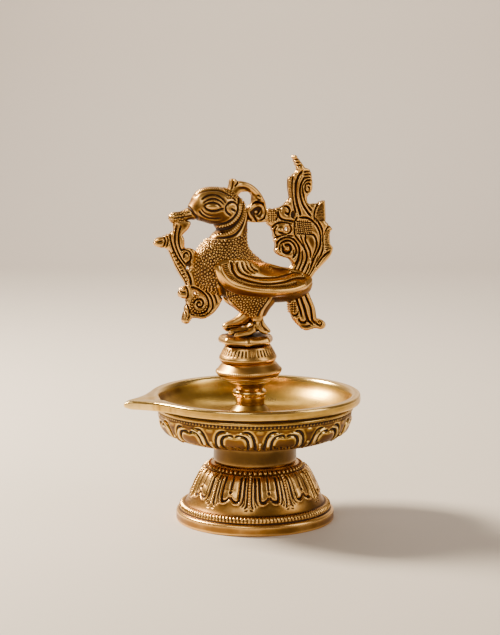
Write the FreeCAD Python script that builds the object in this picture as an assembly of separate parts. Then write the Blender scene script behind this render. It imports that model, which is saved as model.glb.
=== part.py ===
"""Standing brass oil lamp with a bird finial, as an assembly of castings and turned pieces.

Units are millimetres. +Z is up, the origin is the centre of the foot's resting face, and the dish's
spout and the bird's beak point along -X. The lamp comes apart at two screw joints: the dish unscrews
from the foot, and the finial unscrews from the stem that stands in the dish.
"""

import os

import FreeCAD
import Part
from FreeCAD import Vector

# ---- driving dimensions -------------------------------------------------------------------
FOOT_R = 43.4            # foot's outer radius at the base band
BAND_H = 6.0             # height of the plain base band
ROPE_R, ROPE_Z, ROPE_WIRE = 39.7, 8.0, 1.5   # rope ring round the bell's hem
FOOT_TOP = 32.0          # where the collar sits
FOOT_WALL = 3.6
BOSS_R, BOSS_BOTTOM = 13.0, 21.0             # threaded boss under the foot's crown

COLLAR_R = 22.9
COLLAR_TOP = 43.3

DISH_R = 57.8            # outside of the rim
RIM_TOP, RIM_BOTTOM = 69.5, 65.8
RIM_INNER_R = 53.0
FLOOR_Z, FLOOR_R = 54.0, 30.0
SPOUT_TIP_X = -75.0
SPOUT_ROOT_X, SPOUT_ROOT_Y = -51.5, 22.0
CHANNEL_DEPTH, CHANNEL_HALF_WIDTH = 1.8, 5.0

SPIGOT_R, SPIGOT_BOTTOM, SPIGOT_TOP = 8.0, 22.5, 50.5
RUN = 0.05               # radial clearance of a screwed fit
LOOSE = 0.3              # radial clearance of a loose ring

STEM_X = -3.5            # the stem stands a little off the dish's centre
STEM_TOP = 68.6
RING_TOP = 72.1
CUP_TOP = 80.2
LOWER_DISC_TOP = 87.7
UPPER_DISC_TOP = 96.8
PERCH_SET_BACK = -1.7     # the perch sits this far off the stem, towards the beak
PERCH_TOP = 102.4
STUD_R, STUD_BOTTOM, STUD_TOP = 4.0, 58.5, 100.4

TAIL_HALF = 2.3          # half thickness of the flat castings, across the bird
PLUME_HALF = 2.2
CREST_HALF = 2.3
GARLAND_HALF = 2.1
WING_FIT = 0.04           # gap under a wing plate before it is brazed on
WING_PROUD = 2.4         # how far a wing stands off the bird's flank
LEG_Y = 4.4              # each leg's distance from the middle plane
EXPORT_FOLDER = "parts"


# ---- helpers --------------------------------------------------------------------------------
def path_edges(start, steps, place):
    """Edges of an outline. A step is (u, v) for a straight run, ("arc", mid, end) or ("curve", points)."""
    edges, here = [], start
    for step in steps:
        if step[0] == "arc":
            edges.append(Part.Arc(place(*here), place(*step[1]), place(*step[2])).toShape())
            here = step[2]
        elif step[0] == "curve":
            curve = Part.BSplineCurve()
            curve.interpolate([place(*p) for p in [here] + step[1]])
            edges.append(curve.toShape())
            here = step[1][-1]
        else:
            edges.append(Part.LineSegment(place(*here), place(*step)).toShape())
            here = step
    return edges


def lathe(start, steps, centre_x=0.0):
    """A turned solid: the outline is (radius, height), closed on itself, spun about the vertical axis."""
    edges = path_edges(start, steps, lambda r, z: Vector(centre_x + r, 0, z))
    face = Part.Face(Part.Wire(edges))
    return face.revolve(Vector(centre_x, 0, 0), Vector(0, 0, 1), 360)


def plate(start, steps, half, holes=()):
    """A flat casting in the bird's middle plane: the outline is (x, z), and it is 2 * half thick."""
    wire = Part.Wire(path_edges(start, steps, lambda x, z: Vector(x, -half, z)))
    solid = Part.Face(wire).extrude(Vector(0, 2 * half, 0))
    for x, z, radius in holes:
        solid = solid.cut(Part.makeCylinder(radius, 2 * half, Vector(x, -half, z), Vector(0, 1, 0)))
    return solid


def rod(radius, bottom, top, centre_x=0.0):
    return Part.makeCylinder(radius, top - bottom, Vector(centre_x, 0, bottom))


def limb(a, radius_a, b, radius_b):
    """A round-ended taper between two points."""
    axis = b - a
    return (
        Part.makeCone(radius_a, radius_b, axis.Length, a, axis)
        .fuse(Part.makeSphere(radius_a, a))
        .fuse(Part.makeSphere(radius_b, b))
    )


def mirrored(solid):
    return solid.mirror(Vector(0, 0, 0), Vector(0, 1, 0))


# ---- foot, collar and dish --------------------------------------------------------------------
def make_foot():
    """Bell-shaped hollow casting with a threaded boss under its crown."""
    bell = lathe(
        (SPIGOT_R + RUN, BOSS_BOTTOM),
        [
            (BOSS_R, BOSS_BOTTOM),
            (BOSS_R + 1.5, 27.0),
            ("arc", (25.6, 23.6), (31.6, 15.0)),
            (33.5, 9.0),
            (FOOT_R - FOOT_WALL - 1.0, 0.0),
            (FOOT_R - 0.6, 0.0),
            ("arc", (FOOT_R - 0.15, 0.2), (FOOT_R, 0.8)),
            (FOOT_R, BAND_H - 0.7),
            ("arc", (FOOT_R - 0.2, BAND_H - 0.2), (FOOT_R - 0.8, BAND_H)),
            (ROPE_R + 0.6, BAND_H + 0.3),
            (ROPE_R - 1.2, 9.6),
            ("arc", (37.2, 10.6), (37.0, 12.2)),
            ("curve", [(35.3, 17.0), (32.9, 22.2), (29.6, 27.2), (26.6, 30.2)]),
            ("arc", (25.4, 31.4), (23.8, FOOT_TOP)),
            (SPIGOT_R + RUN, FOOT_TOP),
            (SPIGOT_R + RUN, BOSS_BOTTOM),
        ],
    )
    return bell.fuse(Part.makeTorus(ROPE_R, ROPE_WIRE, Vector(0, 0, ROPE_Z)))


def make_collar():
    """Loose turned ring between the foot's crown and the dish."""
    return lathe(
        (SPIGOT_R + LOOSE, FOOT_TOP),
        [
            (COLLAR_R - 0.4, FOOT_TOP),
            (COLLAR_R, FOOT_TOP + 0.5),
            (COLLAR_R - 0.5, COLLAR_TOP),
            (SPIGOT_R + LOOSE, COLLAR_TOP),
            (SPIGOT_R + LOOSE, FOOT_TOP),
        ],
    )


def spout_block():
    """Pointed lip: a wedge from the rim to the tip, its keel rising towards the tip."""
    tip_half = 0.5
    flank = [(-58.0, 13.6), (-63.5, 8.0), (-69.5, 3.4), (SPOUT_TIP_X, tip_half)]
    other = [(x, -y) for x, y in reversed(flank)]
    edges = path_edges(
        (-40.0, 0.0),
        [
            (-40.0, SPOUT_ROOT_Y),
            (SPOUT_ROOT_X, SPOUT_ROOT_Y),
            ("curve", flank),
            other[0],
            ("curve", other[1:] + [(SPOUT_ROOT_X, -SPOUT_ROOT_Y)]),
            (-40.0, -SPOUT_ROOT_Y),
            (-40.0, 0.0),
        ],
        lambda x, y: Vector(x, y, RIM_BOTTOM),
    )
    block = Part.Face(Part.Wire(edges)).extrude(Vector(0, 0, RIM_TOP - RIM_BOTTOM))
    keel = path_edges(
        (SPOUT_TIP_X - 1, 60.0),
        [(SPOUT_TIP_X - 1, 67.9), (-58.0, RIM_BOTTOM), (-58.0, 60.0), (SPOUT_TIP_X - 1, 60.0)],
        lambda x, z: Vector(x, -30, z),
    )
    deck = path_edges(
        (SPOUT_TIP_X - 1, 72.0),
        [(SPOUT_TIP_X - 1, 68.7), (-60.0, RIM_TOP), (-60.0, 72.0), (SPOUT_TIP_X - 1, 72.0)],
        lambda x, z: Vector(x, -30, z),
    )
    for wire in (keel, deck):
        block = block.cut(Part.Face(Part.Wire(wire)).extrude(Vector(0, 60, 0)))
    return block


def spout_channel():
    """Shallow V groove in which the wick lies, from the dish to just short of the tip."""
    start_x, end_x = -46.0, SPOUT_TIP_X + 4.0
    top = RIM_TOP + 1.0
    sections = []
    for x, half, low in (
        (start_x, CHANNEL_HALF_WIDTH, RIM_TOP - CHANNEL_DEPTH - 0.6),
        (end_x, 0.6, RIM_TOP - 0.5),
    ):
        corners = [Vector(x, -half, top), Vector(x, half, top), Vector(x, 0, low)]
        sections.append(Part.makePolygon(corners + corners[:1]))
    return Part.makeLoft(sections, True, True)


def make_dish():
    """Shallow oil dish with a thick rim and a spout, and a flat seat under it for the collar."""
    body = lathe(
        (0.0, COLLAR_TOP),
        [
            (COLLAR_R, COLLAR_TOP),
            ("curve", [(30.0, 44.0), (36.0, 44.9), (41.0, 46.0), (44.0, 46.9), (47.5, 48.6),
                       (50.0, 50.6), (51.5, 53.0), (52.7, 57.0), (53.2, 61.0)]),
            (53.3, 61.4),
            ("arc", (54.2, 62.5), (53.3, 63.6)),
            (52.9, 64.6),
            (54.0, RIM_BOTTOM - 0.4),
            (DISH_R - 0.6, RIM_BOTTOM),
            ("arc", (DISH_R, 67.4), (DISH_R - 0.5, RIM_TOP - 0.4)),
            (DISH_R - 1.1, RIM_TOP),
            (RIM_INNER_R, RIM_TOP),
            ("curve", [(51.0, 64.8), (46.5, 59.6), (39.5, 55.6), (FLOOR_R, FLOOR_Z)]),
            (0.0, FLOOR_Z),
            (0.0, COLLAR_TOP),
        ],
    )
    inside = lathe(
        (0.0, FLOOR_Z),
        [
            (FLOOR_R, FLOOR_Z),
            ("curve", [(39.5, 55.6), (46.5, 59.6), (51.0, 64.8), (RIM_INNER_R, RIM_TOP)]),
            (0.0, RIM_TOP),
            (0.0, FLOOR_Z),
        ],
    )
    dish = body.fuse(spout_block().cut(inside)).cut(spout_channel())
    return dish.cut(rod(SPIGOT_R, COLLAR_TOP, SPIGOT_TOP)).removeSplitter()


def make_spigot():
    """Threaded stub brazed into the dish's underside; it screws into the foot's boss."""
    return lathe(
        (0.0, SPIGOT_BOTTOM),
        [
            (SPIGOT_R - 1.0, SPIGOT_BOTTOM),
            (SPIGOT_R, SPIGOT_BOTTOM + 1.0),
            (SPIGOT_R, SPIGOT_TOP),
            (0.0, SPIGOT_TOP),
            (0.0, SPIGOT_BOTTOM),
        ],
    )


# ---- stem, stud and the turned rings of the finial -------------------------------------------
def make_stem():
    """Flared stem that stands on the dish's floor, with a blind threaded hole in its top."""
    stem = lathe(
        (0.0, FLOOR_Z),
        [
            (15.6, FLOOR_Z),
            ("arc", (15.9, 54.7), (15.2, 55.4)),
            (7.9, 63.6),
            (7.5, 64.1),
            ("arc", (8.0, 66.4), (7.6, STEM_TOP)),
            (0.0, STEM_TOP),
            (0.0, FLOOR_Z),
        ],
        STEM_X,
    )
    return stem.cut(rod(STUD_R + RUN, STUD_BOTTOM - 1.0, STEM_TOP, STEM_X))


def make_stem_ring():
    """Loose ring on top of the stem."""
    return lathe(
        (STUD_R + LOOSE, STEM_TOP),
        [
            (7.9, STEM_TOP),
            ("arc", (8.95, 69.6), (8.7, 70.8)),
            (7.4, RING_TOP),
            (STUD_R + LOOSE, RING_TOP),
            (STUD_R + LOOSE, STEM_TOP),
        ],
        STEM_X,
    )


def turned_on_stud(start, steps, top):
    """A turned piece with the stud's hole through it."""
    bore = [(STUD_R, top), (STUD_R, start[1]), start]
    return lathe(start, steps + bore, STEM_X)


def make_cup():
    steps = [
        ("arc", (7.9, 74.4), (9.6, 76.3)),
        (11.6, 76.9),
        (11.7, 77.6),
        (13.8, 78.2),
        (14.1, 79.0),
        (16.4, 79.7),
        (16.6, CUP_TOP),
    ]
    return turned_on_stud((7.1, RING_TOP), steps, CUP_TOP)


def make_lower_disc():
    steps = [
        ("arc", (17.9, 81.5), (17.4, 83.0)),
        ("arc", (16.2, 85.6), (14.4, LOWER_DISC_TOP)),
    ]
    return turned_on_stud((16.9, CUP_TOP), steps, LOWER_DISC_TOP)


def make_upper_disc():
    steps = [
        ("arc", (15.7, 89.4), (15.4, 91.2)),
        ("arc", (14.4, 93.8), (12.6, 95.8)),
        (10.8, UPPER_DISC_TOP),
    ]
    return turned_on_stud((14.0, LOWER_DISC_TOP), steps, UPPER_DISC_TOP)


def make_perch():
    """Eight-sided plate that the bird stands on, with the stud's blind hole in its underside."""
    centre = STEM_X + PERCH_SET_BACK
    turned = lathe(
        (0.0, UPPER_DISC_TOP),
        [
            (10.4, UPPER_DISC_TOP),
            (10.6, 98.0),
            (14.6, 99.0),
            (15.2, 100.6),
            (13.4, PERCH_TOP),
            (0.0, PERCH_TOP),
            (0.0, UPPER_DISC_TOP),
        ],
        centre,
    )
    octagon = [Vector(14.9, 0, 0)]
    for k in range(1, 9):
        turn = FreeCAD.Rotation(Vector(0, 0, 1), 45.0 * k)
        octagon.append(turn.multVec(octagon[0]))
    prism = Part.Face(Part.makePolygon(octagon)).extrude(Vector(0, 0, 10))
    prism.translate(Vector(centre, 0, UPPER_DISC_TOP - 1))
    return turned.common(prism).cut(rod(STUD_R, UPPER_DISC_TOP, STUD_TOP, STEM_X))


def make_stud():
    """Threaded stud: fixed in the perch, holds the turned rings, and screws into the stem."""
    return lathe(
        (0.0, STUD_BOTTOM),
        [
            (STUD_R - 0.8, STUD_BOTTOM),
            (STUD_R, STUD_BOTTOM + 0.8),
            (STUD_R, STUD_TOP),
            (0.0, STUD_TOP),
            (0.0, STUD_BOTTOM),
        ],
        STEM_X,
    )


# ---- bird ---------------------------------------------------------------------------------------
# The bird's body as oval slices from the beak's tip, over the head, down the neck and along the
# back: (x, z) of the slice's upper edge, (x, z) of its lower edge, and its half width.
BIRD_SLICES = [
    ((-47.9, 168.4), (-47.9, 165.6), 1.3),
    ((-46.4, 169.4), (-45.6, 164.1), 2.5),
    ((-42.5, 170.4), (-41.8, 164.7), 2.7),
    ((-38.6, 171.8), (-37.0, 166.0), 3.4),
    ((-36.3, 175.4), (-33.6, 165.5), 5.8),
    ((-33.4, 180.3), (-30.0, 164.7), 7.8),
    ((-28.0, 182.4), (-26.0, 163.3), 9.0),
    ((-21.5, 182.5), (-23.2, 162.2), 9.3),
    ((-14.5, 181.2), (-22.2, 161.0), 9.0),
    ((-8.6, 177.2), (-21.8, 160.2), 8.3),
    ((-5.4, 171.5), (-22.0, 159.4), 7.6),
    ((-4.5, 165.0), (-23.4, 158.0), 7.6),
    ((-4.8, 158.5), (-26.6, 155.4), 8.8),
    ((-4.9, 153.6), (-31.2, 151.2), 10.6),
    ((-4.0, 150.2), (-34.9, 145.0), 12.2),
    ((-1.8, 147.2), (-36.2, 138.0), 13.0),
    ((1.2, 144.6), (-33.0, 130.2), 13.2),
    ((5.0, 141.6), (-25.0, 125.8), 13.2),
    ((9.0, 139.4), (-12.0, 122.2), 12.8),
    ((13.5, 137.3), (2.0, 120.0), 11.8),
    ((19.0, 135.8), (13.5, 119.2), 10.0),
    ((25.0, 134.9), (23.6, 120.4), 7.6),
    ((30.0, 133.2), (30.4, 123.8), 5.0),
    ((32.6, 130.6), (32.6, 127.4), 2.2),
]
NAPE, RUMP = 11, 19      # which slices end the head and neck, and the torso


def slice_wire(top, bottom, half_width, grow=0.0):
    """One oval slice as a closed curve through eight points, starting at its upper edge."""
    upper, lower = Vector(top[0], 0, top[1]), Vector(bottom[0], 0, bottom[1])
    centre, arm = (upper + lower) * 0.5, (upper - lower) * 0.5
    side = Vector(0, half_width + grow, 0)
    diagonal = 0.7071
    weights = [
        (1, 0), (diagonal, diagonal), (0, 1), (-diagonal, diagonal),
        (-1, 0), (-diagonal, -diagonal), (0, -1), (diagonal, -diagonal),
    ]
    arm = arm * (1 + grow / arm.Length)
    points = [centre + arm * a + side * b for a, b in weights]
    even_steps = [float(k) for k in range(len(points) + 1)]
    curve = Part.BSplineCurve()
    curve.interpolate(Points=points, PeriodicFlag=True, Parameters=even_steps)
    return Part.Wire(curve.toShape())


def bird_loft(grow=0.0):
    """The bird's round, as three lofts that share a slice at the nape and one at the rump."""
    stretches = [BIRD_SLICES[:NAPE + 1], BIRD_SLICES[NAPE:RUMP + 1], BIRD_SLICES[RUMP:]]
    lofts = [Part.makeLoft([slice_wire(*s, grow=grow) for s in stretch], True) for stretch in stretches]
    return lofts[0].multiFuse(lofts[1:])


def thigh(grow=0.0):
    """Drumstick on one side, as level oval slices: (centre x, z, half length, half width, y)."""
    wires = []
    for x, z, half_length, half_width, y in (
        (-4.0, 127.0 + grow, 13.0, 6.0, 5.2),
        (-3.2, 121.0, 13.2, 5.8, 5.2),
        (-2.0, 116.5, 8.8, 4.6, 4.8),
        (-0.6, 112.5, 5.2, 3.6, LEG_Y),
    ):
        oval = Part.Ellipse(Vector(x, y, z), half_length + grow, half_width + grow)
        wires.append(Part.Wire(oval.toShape()))
    return Part.makeLoft(wires, True, False)


def make_torso():
    """Head, neck and body lofted as one solid, with a drumstick on each side."""
    leg = thigh()
    return bird_loft().fuse(leg).fuse(mirrored(leg))


def make_feet():
    """Both shanks and clawed feet, flattened where they meet the perch."""
    pieces = []
    for y in (LEG_Y, -LEG_Y):
        out = 1 if y > 0 else -1
        pieces += [
            limb(Vector(0.8, y, 113.4), 3.1, Vector(-1.4, y, 105.2), 2.9),
            limb(Vector(-6.6, y, 109.0), 3.9, Vector(-16.6, y, 107.2), 2.6),
            limb(Vector(-1.0, y, 107.6), 3.4, Vector(-6.6, y, 109.0), 3.9),
            limb(Vector(-4.0, y, 104.6), 2.4, Vector(-14.6, y + 1.5 * out, 103.8), 1.7),
            limb(Vector(0.5, y, 107.0), 2.2, Vector(6.6, y + 1.0 * out, 103.3), 1.5),
        ]
    feet = pieces[0].multiFuse(pieces[1:])
    bridge = Part.makeBox(6.0, 2 * LEG_Y, 3.0, Vector(-5.0, -LEG_Y, PERCH_TOP))
    below = Part.makeBox(80, 60, 20, Vector(-50, -30, PERCH_TOP - 20))
    return feet.fuse(bridge).cut(below)


def wing_prism():
    """The wing's side outline, extruded across the bird."""
    return plate(
        (-25.4, 141.5),
        [
            ("curve", [(-25.6, 138.6), (-24.2, 134.2), (-18.4, 128.4), (-13.4, 126.2), (-6.6, 124.9),
                       (2.0, 124.1), (10.8, 123.9), (17.8, 124.8), (24.4, 126.8), (31.5, 129.8)]),
            ("curve", [(27.0, 132.6), (14.0, 137.0), (0.0, 141.5), (-8.0, 143.6), (-16.0, 144.6),
                       (-22.0, 144.0), (-25.4, 141.5)]),
        ],
        20.0,
    )


def make_wings():
    """Wing plates on either side: the flank, grown outwards, inside the wing's outline."""
    leg = thigh(WING_FIT)
    flanks = bird_loft(WING_FIT).fuse(leg).fuse(mirrored(leg))
    shell = bird_loft(WING_PROUD).common(wing_prism()).cut(flanks)
    near_side = Part.makeBox(80, 30, 60, Vector(-40, -30.5, 100))
    far_side = Part.makeBox(80, 30, 60, Vector(-40, 0.5, 100))
    return [biggest(shell.common(side)) for side in (near_side, far_side)]


def make_tail():
    """Raised flame-shaped tail with a tall plume, its root set into the end of the back."""
    return plate(
        (21.5, 139.6),
        [
            ("curve", [(20.0, 141.6), (15.5, 143.4), (11.6, 146.0)]),
            ("curve", [(12.2, 149.0), (11.0, 154.0), (9.5, 158.0), (7.4, 162.0)]),
            ("curve", [(6.2, 166.0), (6.6, 170.2)]),
            ("curve", [(11.0, 170.6), (15.0, 172.0), (19.4, 175.2)]),
            ("curve", [(18.6, 180.0), (18.6, 185.0), (19.2, 187.8)]),
            ("curve", [(21.0, 188.8), (23.4, 189.4), (23.8, 191.4)]),
            ("curve", [(22.4, 195.0), (21.4, 198.6), (22.4, 199.8)]),
            ("curve", [(24.6, 197.6), (27.8, 193.2)]),
            ("curve", [(31.6, 191.4), (32.6, 186.0), (31.4, 179.4), (28.6, 177.2)]),
            ("curve", [(29.2, 174.0), (31.8, 171.6)]),
            (34.6, 171.5),
            (39.4, 174.2),
            ("curve", [(40.2, 167.0), (40.6, 160.6)]),
            (42.2, 160.4),
            (45.2, 157.6),
            (43.2, 156.0),
            ("curve", [(43.8, 151.0), (45.2, 146.2)]),
            ("curve", [(42.4, 142.0), (37.6, 137.0), (32.0, 130.4)]),
            (25.0, 129.4),
            ("curve", [(20.6, 133.0), (20.6, 137.0), (21.5, 139.6)]),
        ],
        TAIL_HALF,
        holes=[(17.4, 159.4, 1.7)],
    )


def make_plume():
    """Short hanging plume under the tail's root."""
    return plate(
        (19.6, 123.5),
        [
            ("curve", [(20.2, 117.0), (22.2, 111.4), (25.6, 106.6), (28.6, 104.2)]),
            ("curve", [(32.0, 104.8), (35.2, 104.0), (38.4, 103.4), (40.4, 105.6), (38.6, 109.4)]),
            ("curve", [(37.0, 109.4), (36.4, 107.6), (35.8, 110.0), (34.6, 115.6), (29.4, 126.0)]),
            (19.6, 123.5),
        ],
        PLUME_HALF,
    )


def make_crest():
    """Arched crest from the crown to the tail, ending in a curl against the nape."""
    return plate(
        (-15.6, 179.0),
        [
            ("curve", [(-14.6, 183.4), (-14.2, 186.2), (-12.0, 187.6), (-10.0, 185.8)]),
            ("curve", [(-3.4, 184.6), (1.0, 181.6), (4.0, 177.6), (6.2, 170.2)]),
            ("curve", [(5.8, 166.2), (6.8, 162.8)]),
            ("curve", [(1.6, 162.8), (-3.2, 163.2), (-7.4, 164.4)]),
            ("curve", [(-7.6, 167.6), (-6.4, 170.4)]),
            ("curve", [(-3.6, 171.0), (-2.2, 173.6), (-1.8, 177.6), (-5.8, 180.0), (-9.4, 179.4)]),
            ("curve", [(-9.8, 177.6), (-12.0, 175.6)]),
            (-15.6, 179.0),
        ],
        CREST_HALF,
    )


def make_garland():
    """Leafy spray that hangs from the beak and curls against the chest."""
    return plate(
        (-45.4, 166.4),
        [
            ("curve", [(-45.6, 163.6), (-46.8, 160.4)]),
            ("curve", [(-50.6, 157.4), (-55.4, 156.2), (-57.4, 154.6), (-56.4, 152.6), (-53.4, 150.8),
                       (-49.8, 150.6), (-48.4, 148.4)]),
            ("curve", [(-47.0, 144.4), (-44.8, 139.0), (-42.0, 133.6), (-38.8, 130.4)]),
            ("curve", [(-41.8, 129.4), (-43.2, 126.6), (-42.6, 123.4), (-40.0, 122.6)]),
            ("curve", [(-38.0, 121.4), (-39.2, 117.4), (-41.2, 111.2), (-39.0, 109.8), (-36.4, 111.2)]),
            ("curve", [(-32.6, 111.2), (-29.4, 110.8), (-26.0, 112.8), (-22.4, 116.2), (-18.6, 121.8)]),
            ("curve", [(-21.6, 127.0), (-28.0, 132.0), (-32.6, 139.0), (-33.0, 149.8)]),
            ("curve", [(-36.0, 150.8), (-39.8, 150.2)]),
            ("curve", [(-40.4, 154.6), (-39.6, 158.2), (-37.2, 160.6), (-36.6, 163.4), (-38.0, 167.0)]),
            (-45.4, 166.4),
        ],
        GARLAND_HALF,
        holes=[(-38.4, 139.6, 1.3), (-34.4, 126.2, 1.5)],
    )


# ---- build ------------------------------------------------------------------------------------------
def cut_all(solid, others):
    for other in others:
        solid = solid.cut(other)
    return solid


def biggest(shape):
    """The largest solid of a shape, which drops slivers that a cut leaves behind."""
    return max(shape.Solids, key=lambda s: s.Volume)


def build():
    torso, perch = make_torso(), make_perch()
    feet = biggest(make_feet().cut(torso))
    tail = biggest(make_tail())
    plume = biggest(make_plume().cut(tail))
    crest = biggest(make_crest().cut(torso).cut(tail))
    garland = biggest(make_garland().cut(torso))
    wing, other_wing = make_wings()
    body = biggest(cut_all(torso, [tail, plume]))
    wings = [biggest(cut_all(w, [tail, plume])) for w in (wing, other_wing)]
    return {
        "foot": make_foot(),
        "neck_collar": make_collar(),
        "oil_dish": make_dish(),
        "dish_spigot": make_spigot(),
        "stem": make_stem(),
        "stem_ring": make_stem_ring(),
        "drip_cup": make_cup(),
        "lower_disc": make_lower_disc(),
        "upper_disc": make_upper_disc(),
        "perch_plate": perch,
        "finial_stud": make_stud(),
        "bird_body": body,
        "bird_feet": feet,
        "wing_left": wings[0],
        "wing_right": wings[1],
        "tail_fan": tail,
        "tail_plume": plume,
        "crest_arch": crest,
        "beak_garland": garland,
    }


def main():
    os.makedirs(EXPORT_FOLDER, exist_ok=True)
    for name, shape in build().items():
        solids = shape.Solids
        print(f"{name}: {len(solids)} solid, valid {shape.isValid()}, {shape.Volume / 1000:.2f} cm3")
        out = solids[0] if len(solids) == 1 else Part.makeCompound(solids)
        out.exportStep(os.path.join(EXPORT_FOLDER, name + ".step"))


main()
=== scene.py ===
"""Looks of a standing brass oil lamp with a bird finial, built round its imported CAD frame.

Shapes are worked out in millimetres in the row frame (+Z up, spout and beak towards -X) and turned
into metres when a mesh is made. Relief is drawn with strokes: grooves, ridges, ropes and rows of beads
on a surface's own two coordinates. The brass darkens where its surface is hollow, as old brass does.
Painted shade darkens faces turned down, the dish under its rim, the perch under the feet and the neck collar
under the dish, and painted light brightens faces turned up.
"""

import itertools
import math
import random

import bmesh
import bpy
import numpy as np
from mathutils import Matrix, Vector
from mathutils.bvhtree import BVHTree
from mathutils.geometry import tessellate_polygon
from mathutils.kdtree import KDTree


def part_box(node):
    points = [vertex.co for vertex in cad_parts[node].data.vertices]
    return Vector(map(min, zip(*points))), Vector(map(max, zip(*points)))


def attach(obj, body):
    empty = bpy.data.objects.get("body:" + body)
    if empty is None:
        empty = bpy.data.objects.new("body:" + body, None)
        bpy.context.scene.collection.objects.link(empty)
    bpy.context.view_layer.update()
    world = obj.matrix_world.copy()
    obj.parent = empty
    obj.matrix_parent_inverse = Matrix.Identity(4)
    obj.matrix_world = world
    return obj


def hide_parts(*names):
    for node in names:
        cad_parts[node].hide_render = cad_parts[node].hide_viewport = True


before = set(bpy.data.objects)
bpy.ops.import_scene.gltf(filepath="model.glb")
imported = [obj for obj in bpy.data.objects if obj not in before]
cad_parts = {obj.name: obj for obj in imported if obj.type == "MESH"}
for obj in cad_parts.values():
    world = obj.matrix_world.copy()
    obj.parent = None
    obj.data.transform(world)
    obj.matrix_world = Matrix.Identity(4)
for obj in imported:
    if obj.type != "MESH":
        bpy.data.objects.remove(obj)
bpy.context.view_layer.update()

MM = 0.001
FULL_TURN = 2 * math.pi


def node_box(node):
    """Lowest and highest corner of a CAD node, in mm."""
    low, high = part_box(node)
    return np.array(low) / MM, np.array(high) / MM


def nearest_tree(spots):
    """A search tree over points, for the distance to the nearest; flat points count as lying at z = 0."""
    tree = KDTree(len(spots))
    for i, spot in enumerate(spots):
        tree.insert((*spot, 0)[:3], i)
    tree.balance()
    return tree


def distances(tree, points):
    return np.array([tree.find((*point, 0)[:3])[2] for point in points])


def half_thickness(node):
    """Half of how thick a flat casting is in the CAD, in mm."""
    return node_box(node)[1][1]


# ---- curves and strokes -------------------------------------------------------------------------
def spline(points, step):
    """Points along a smooth curve through the given ones, about a step apart."""
    pts = np.array(points, float)
    pts = np.vstack([2 * pts[0] - pts[1], pts, 2 * pts[-1] - pts[-2]])
    runs = []
    for a, b, c, d in zip(pts[:-3], pts[1:-2], pts[2:-1], pts[3:]):
        count = max(2, int(np.linalg.norm(c - b) / step))
        t = np.linspace(0, 1, count, endpoint=False)[:, None]
        runs.append(b + 0.5 * t * ((c - a) + t * ((2 * a - 5 * b + 4 * c - d) + t * (3 * b - a - 3 * c + d))))
    return np.vstack([*runs, pts[-2:-1]])


def bell(distance, width):
    """1 at no distance, 0 from the width outwards, with a round top."""
    return np.clip(1 - (distance / width) ** 2, 0, None) ** 2


def smooth_step(value, low, high):
    t = np.clip((value - low) / (high - low), 0, 1)
    return t * t * (3 - 2 * t)


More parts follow.
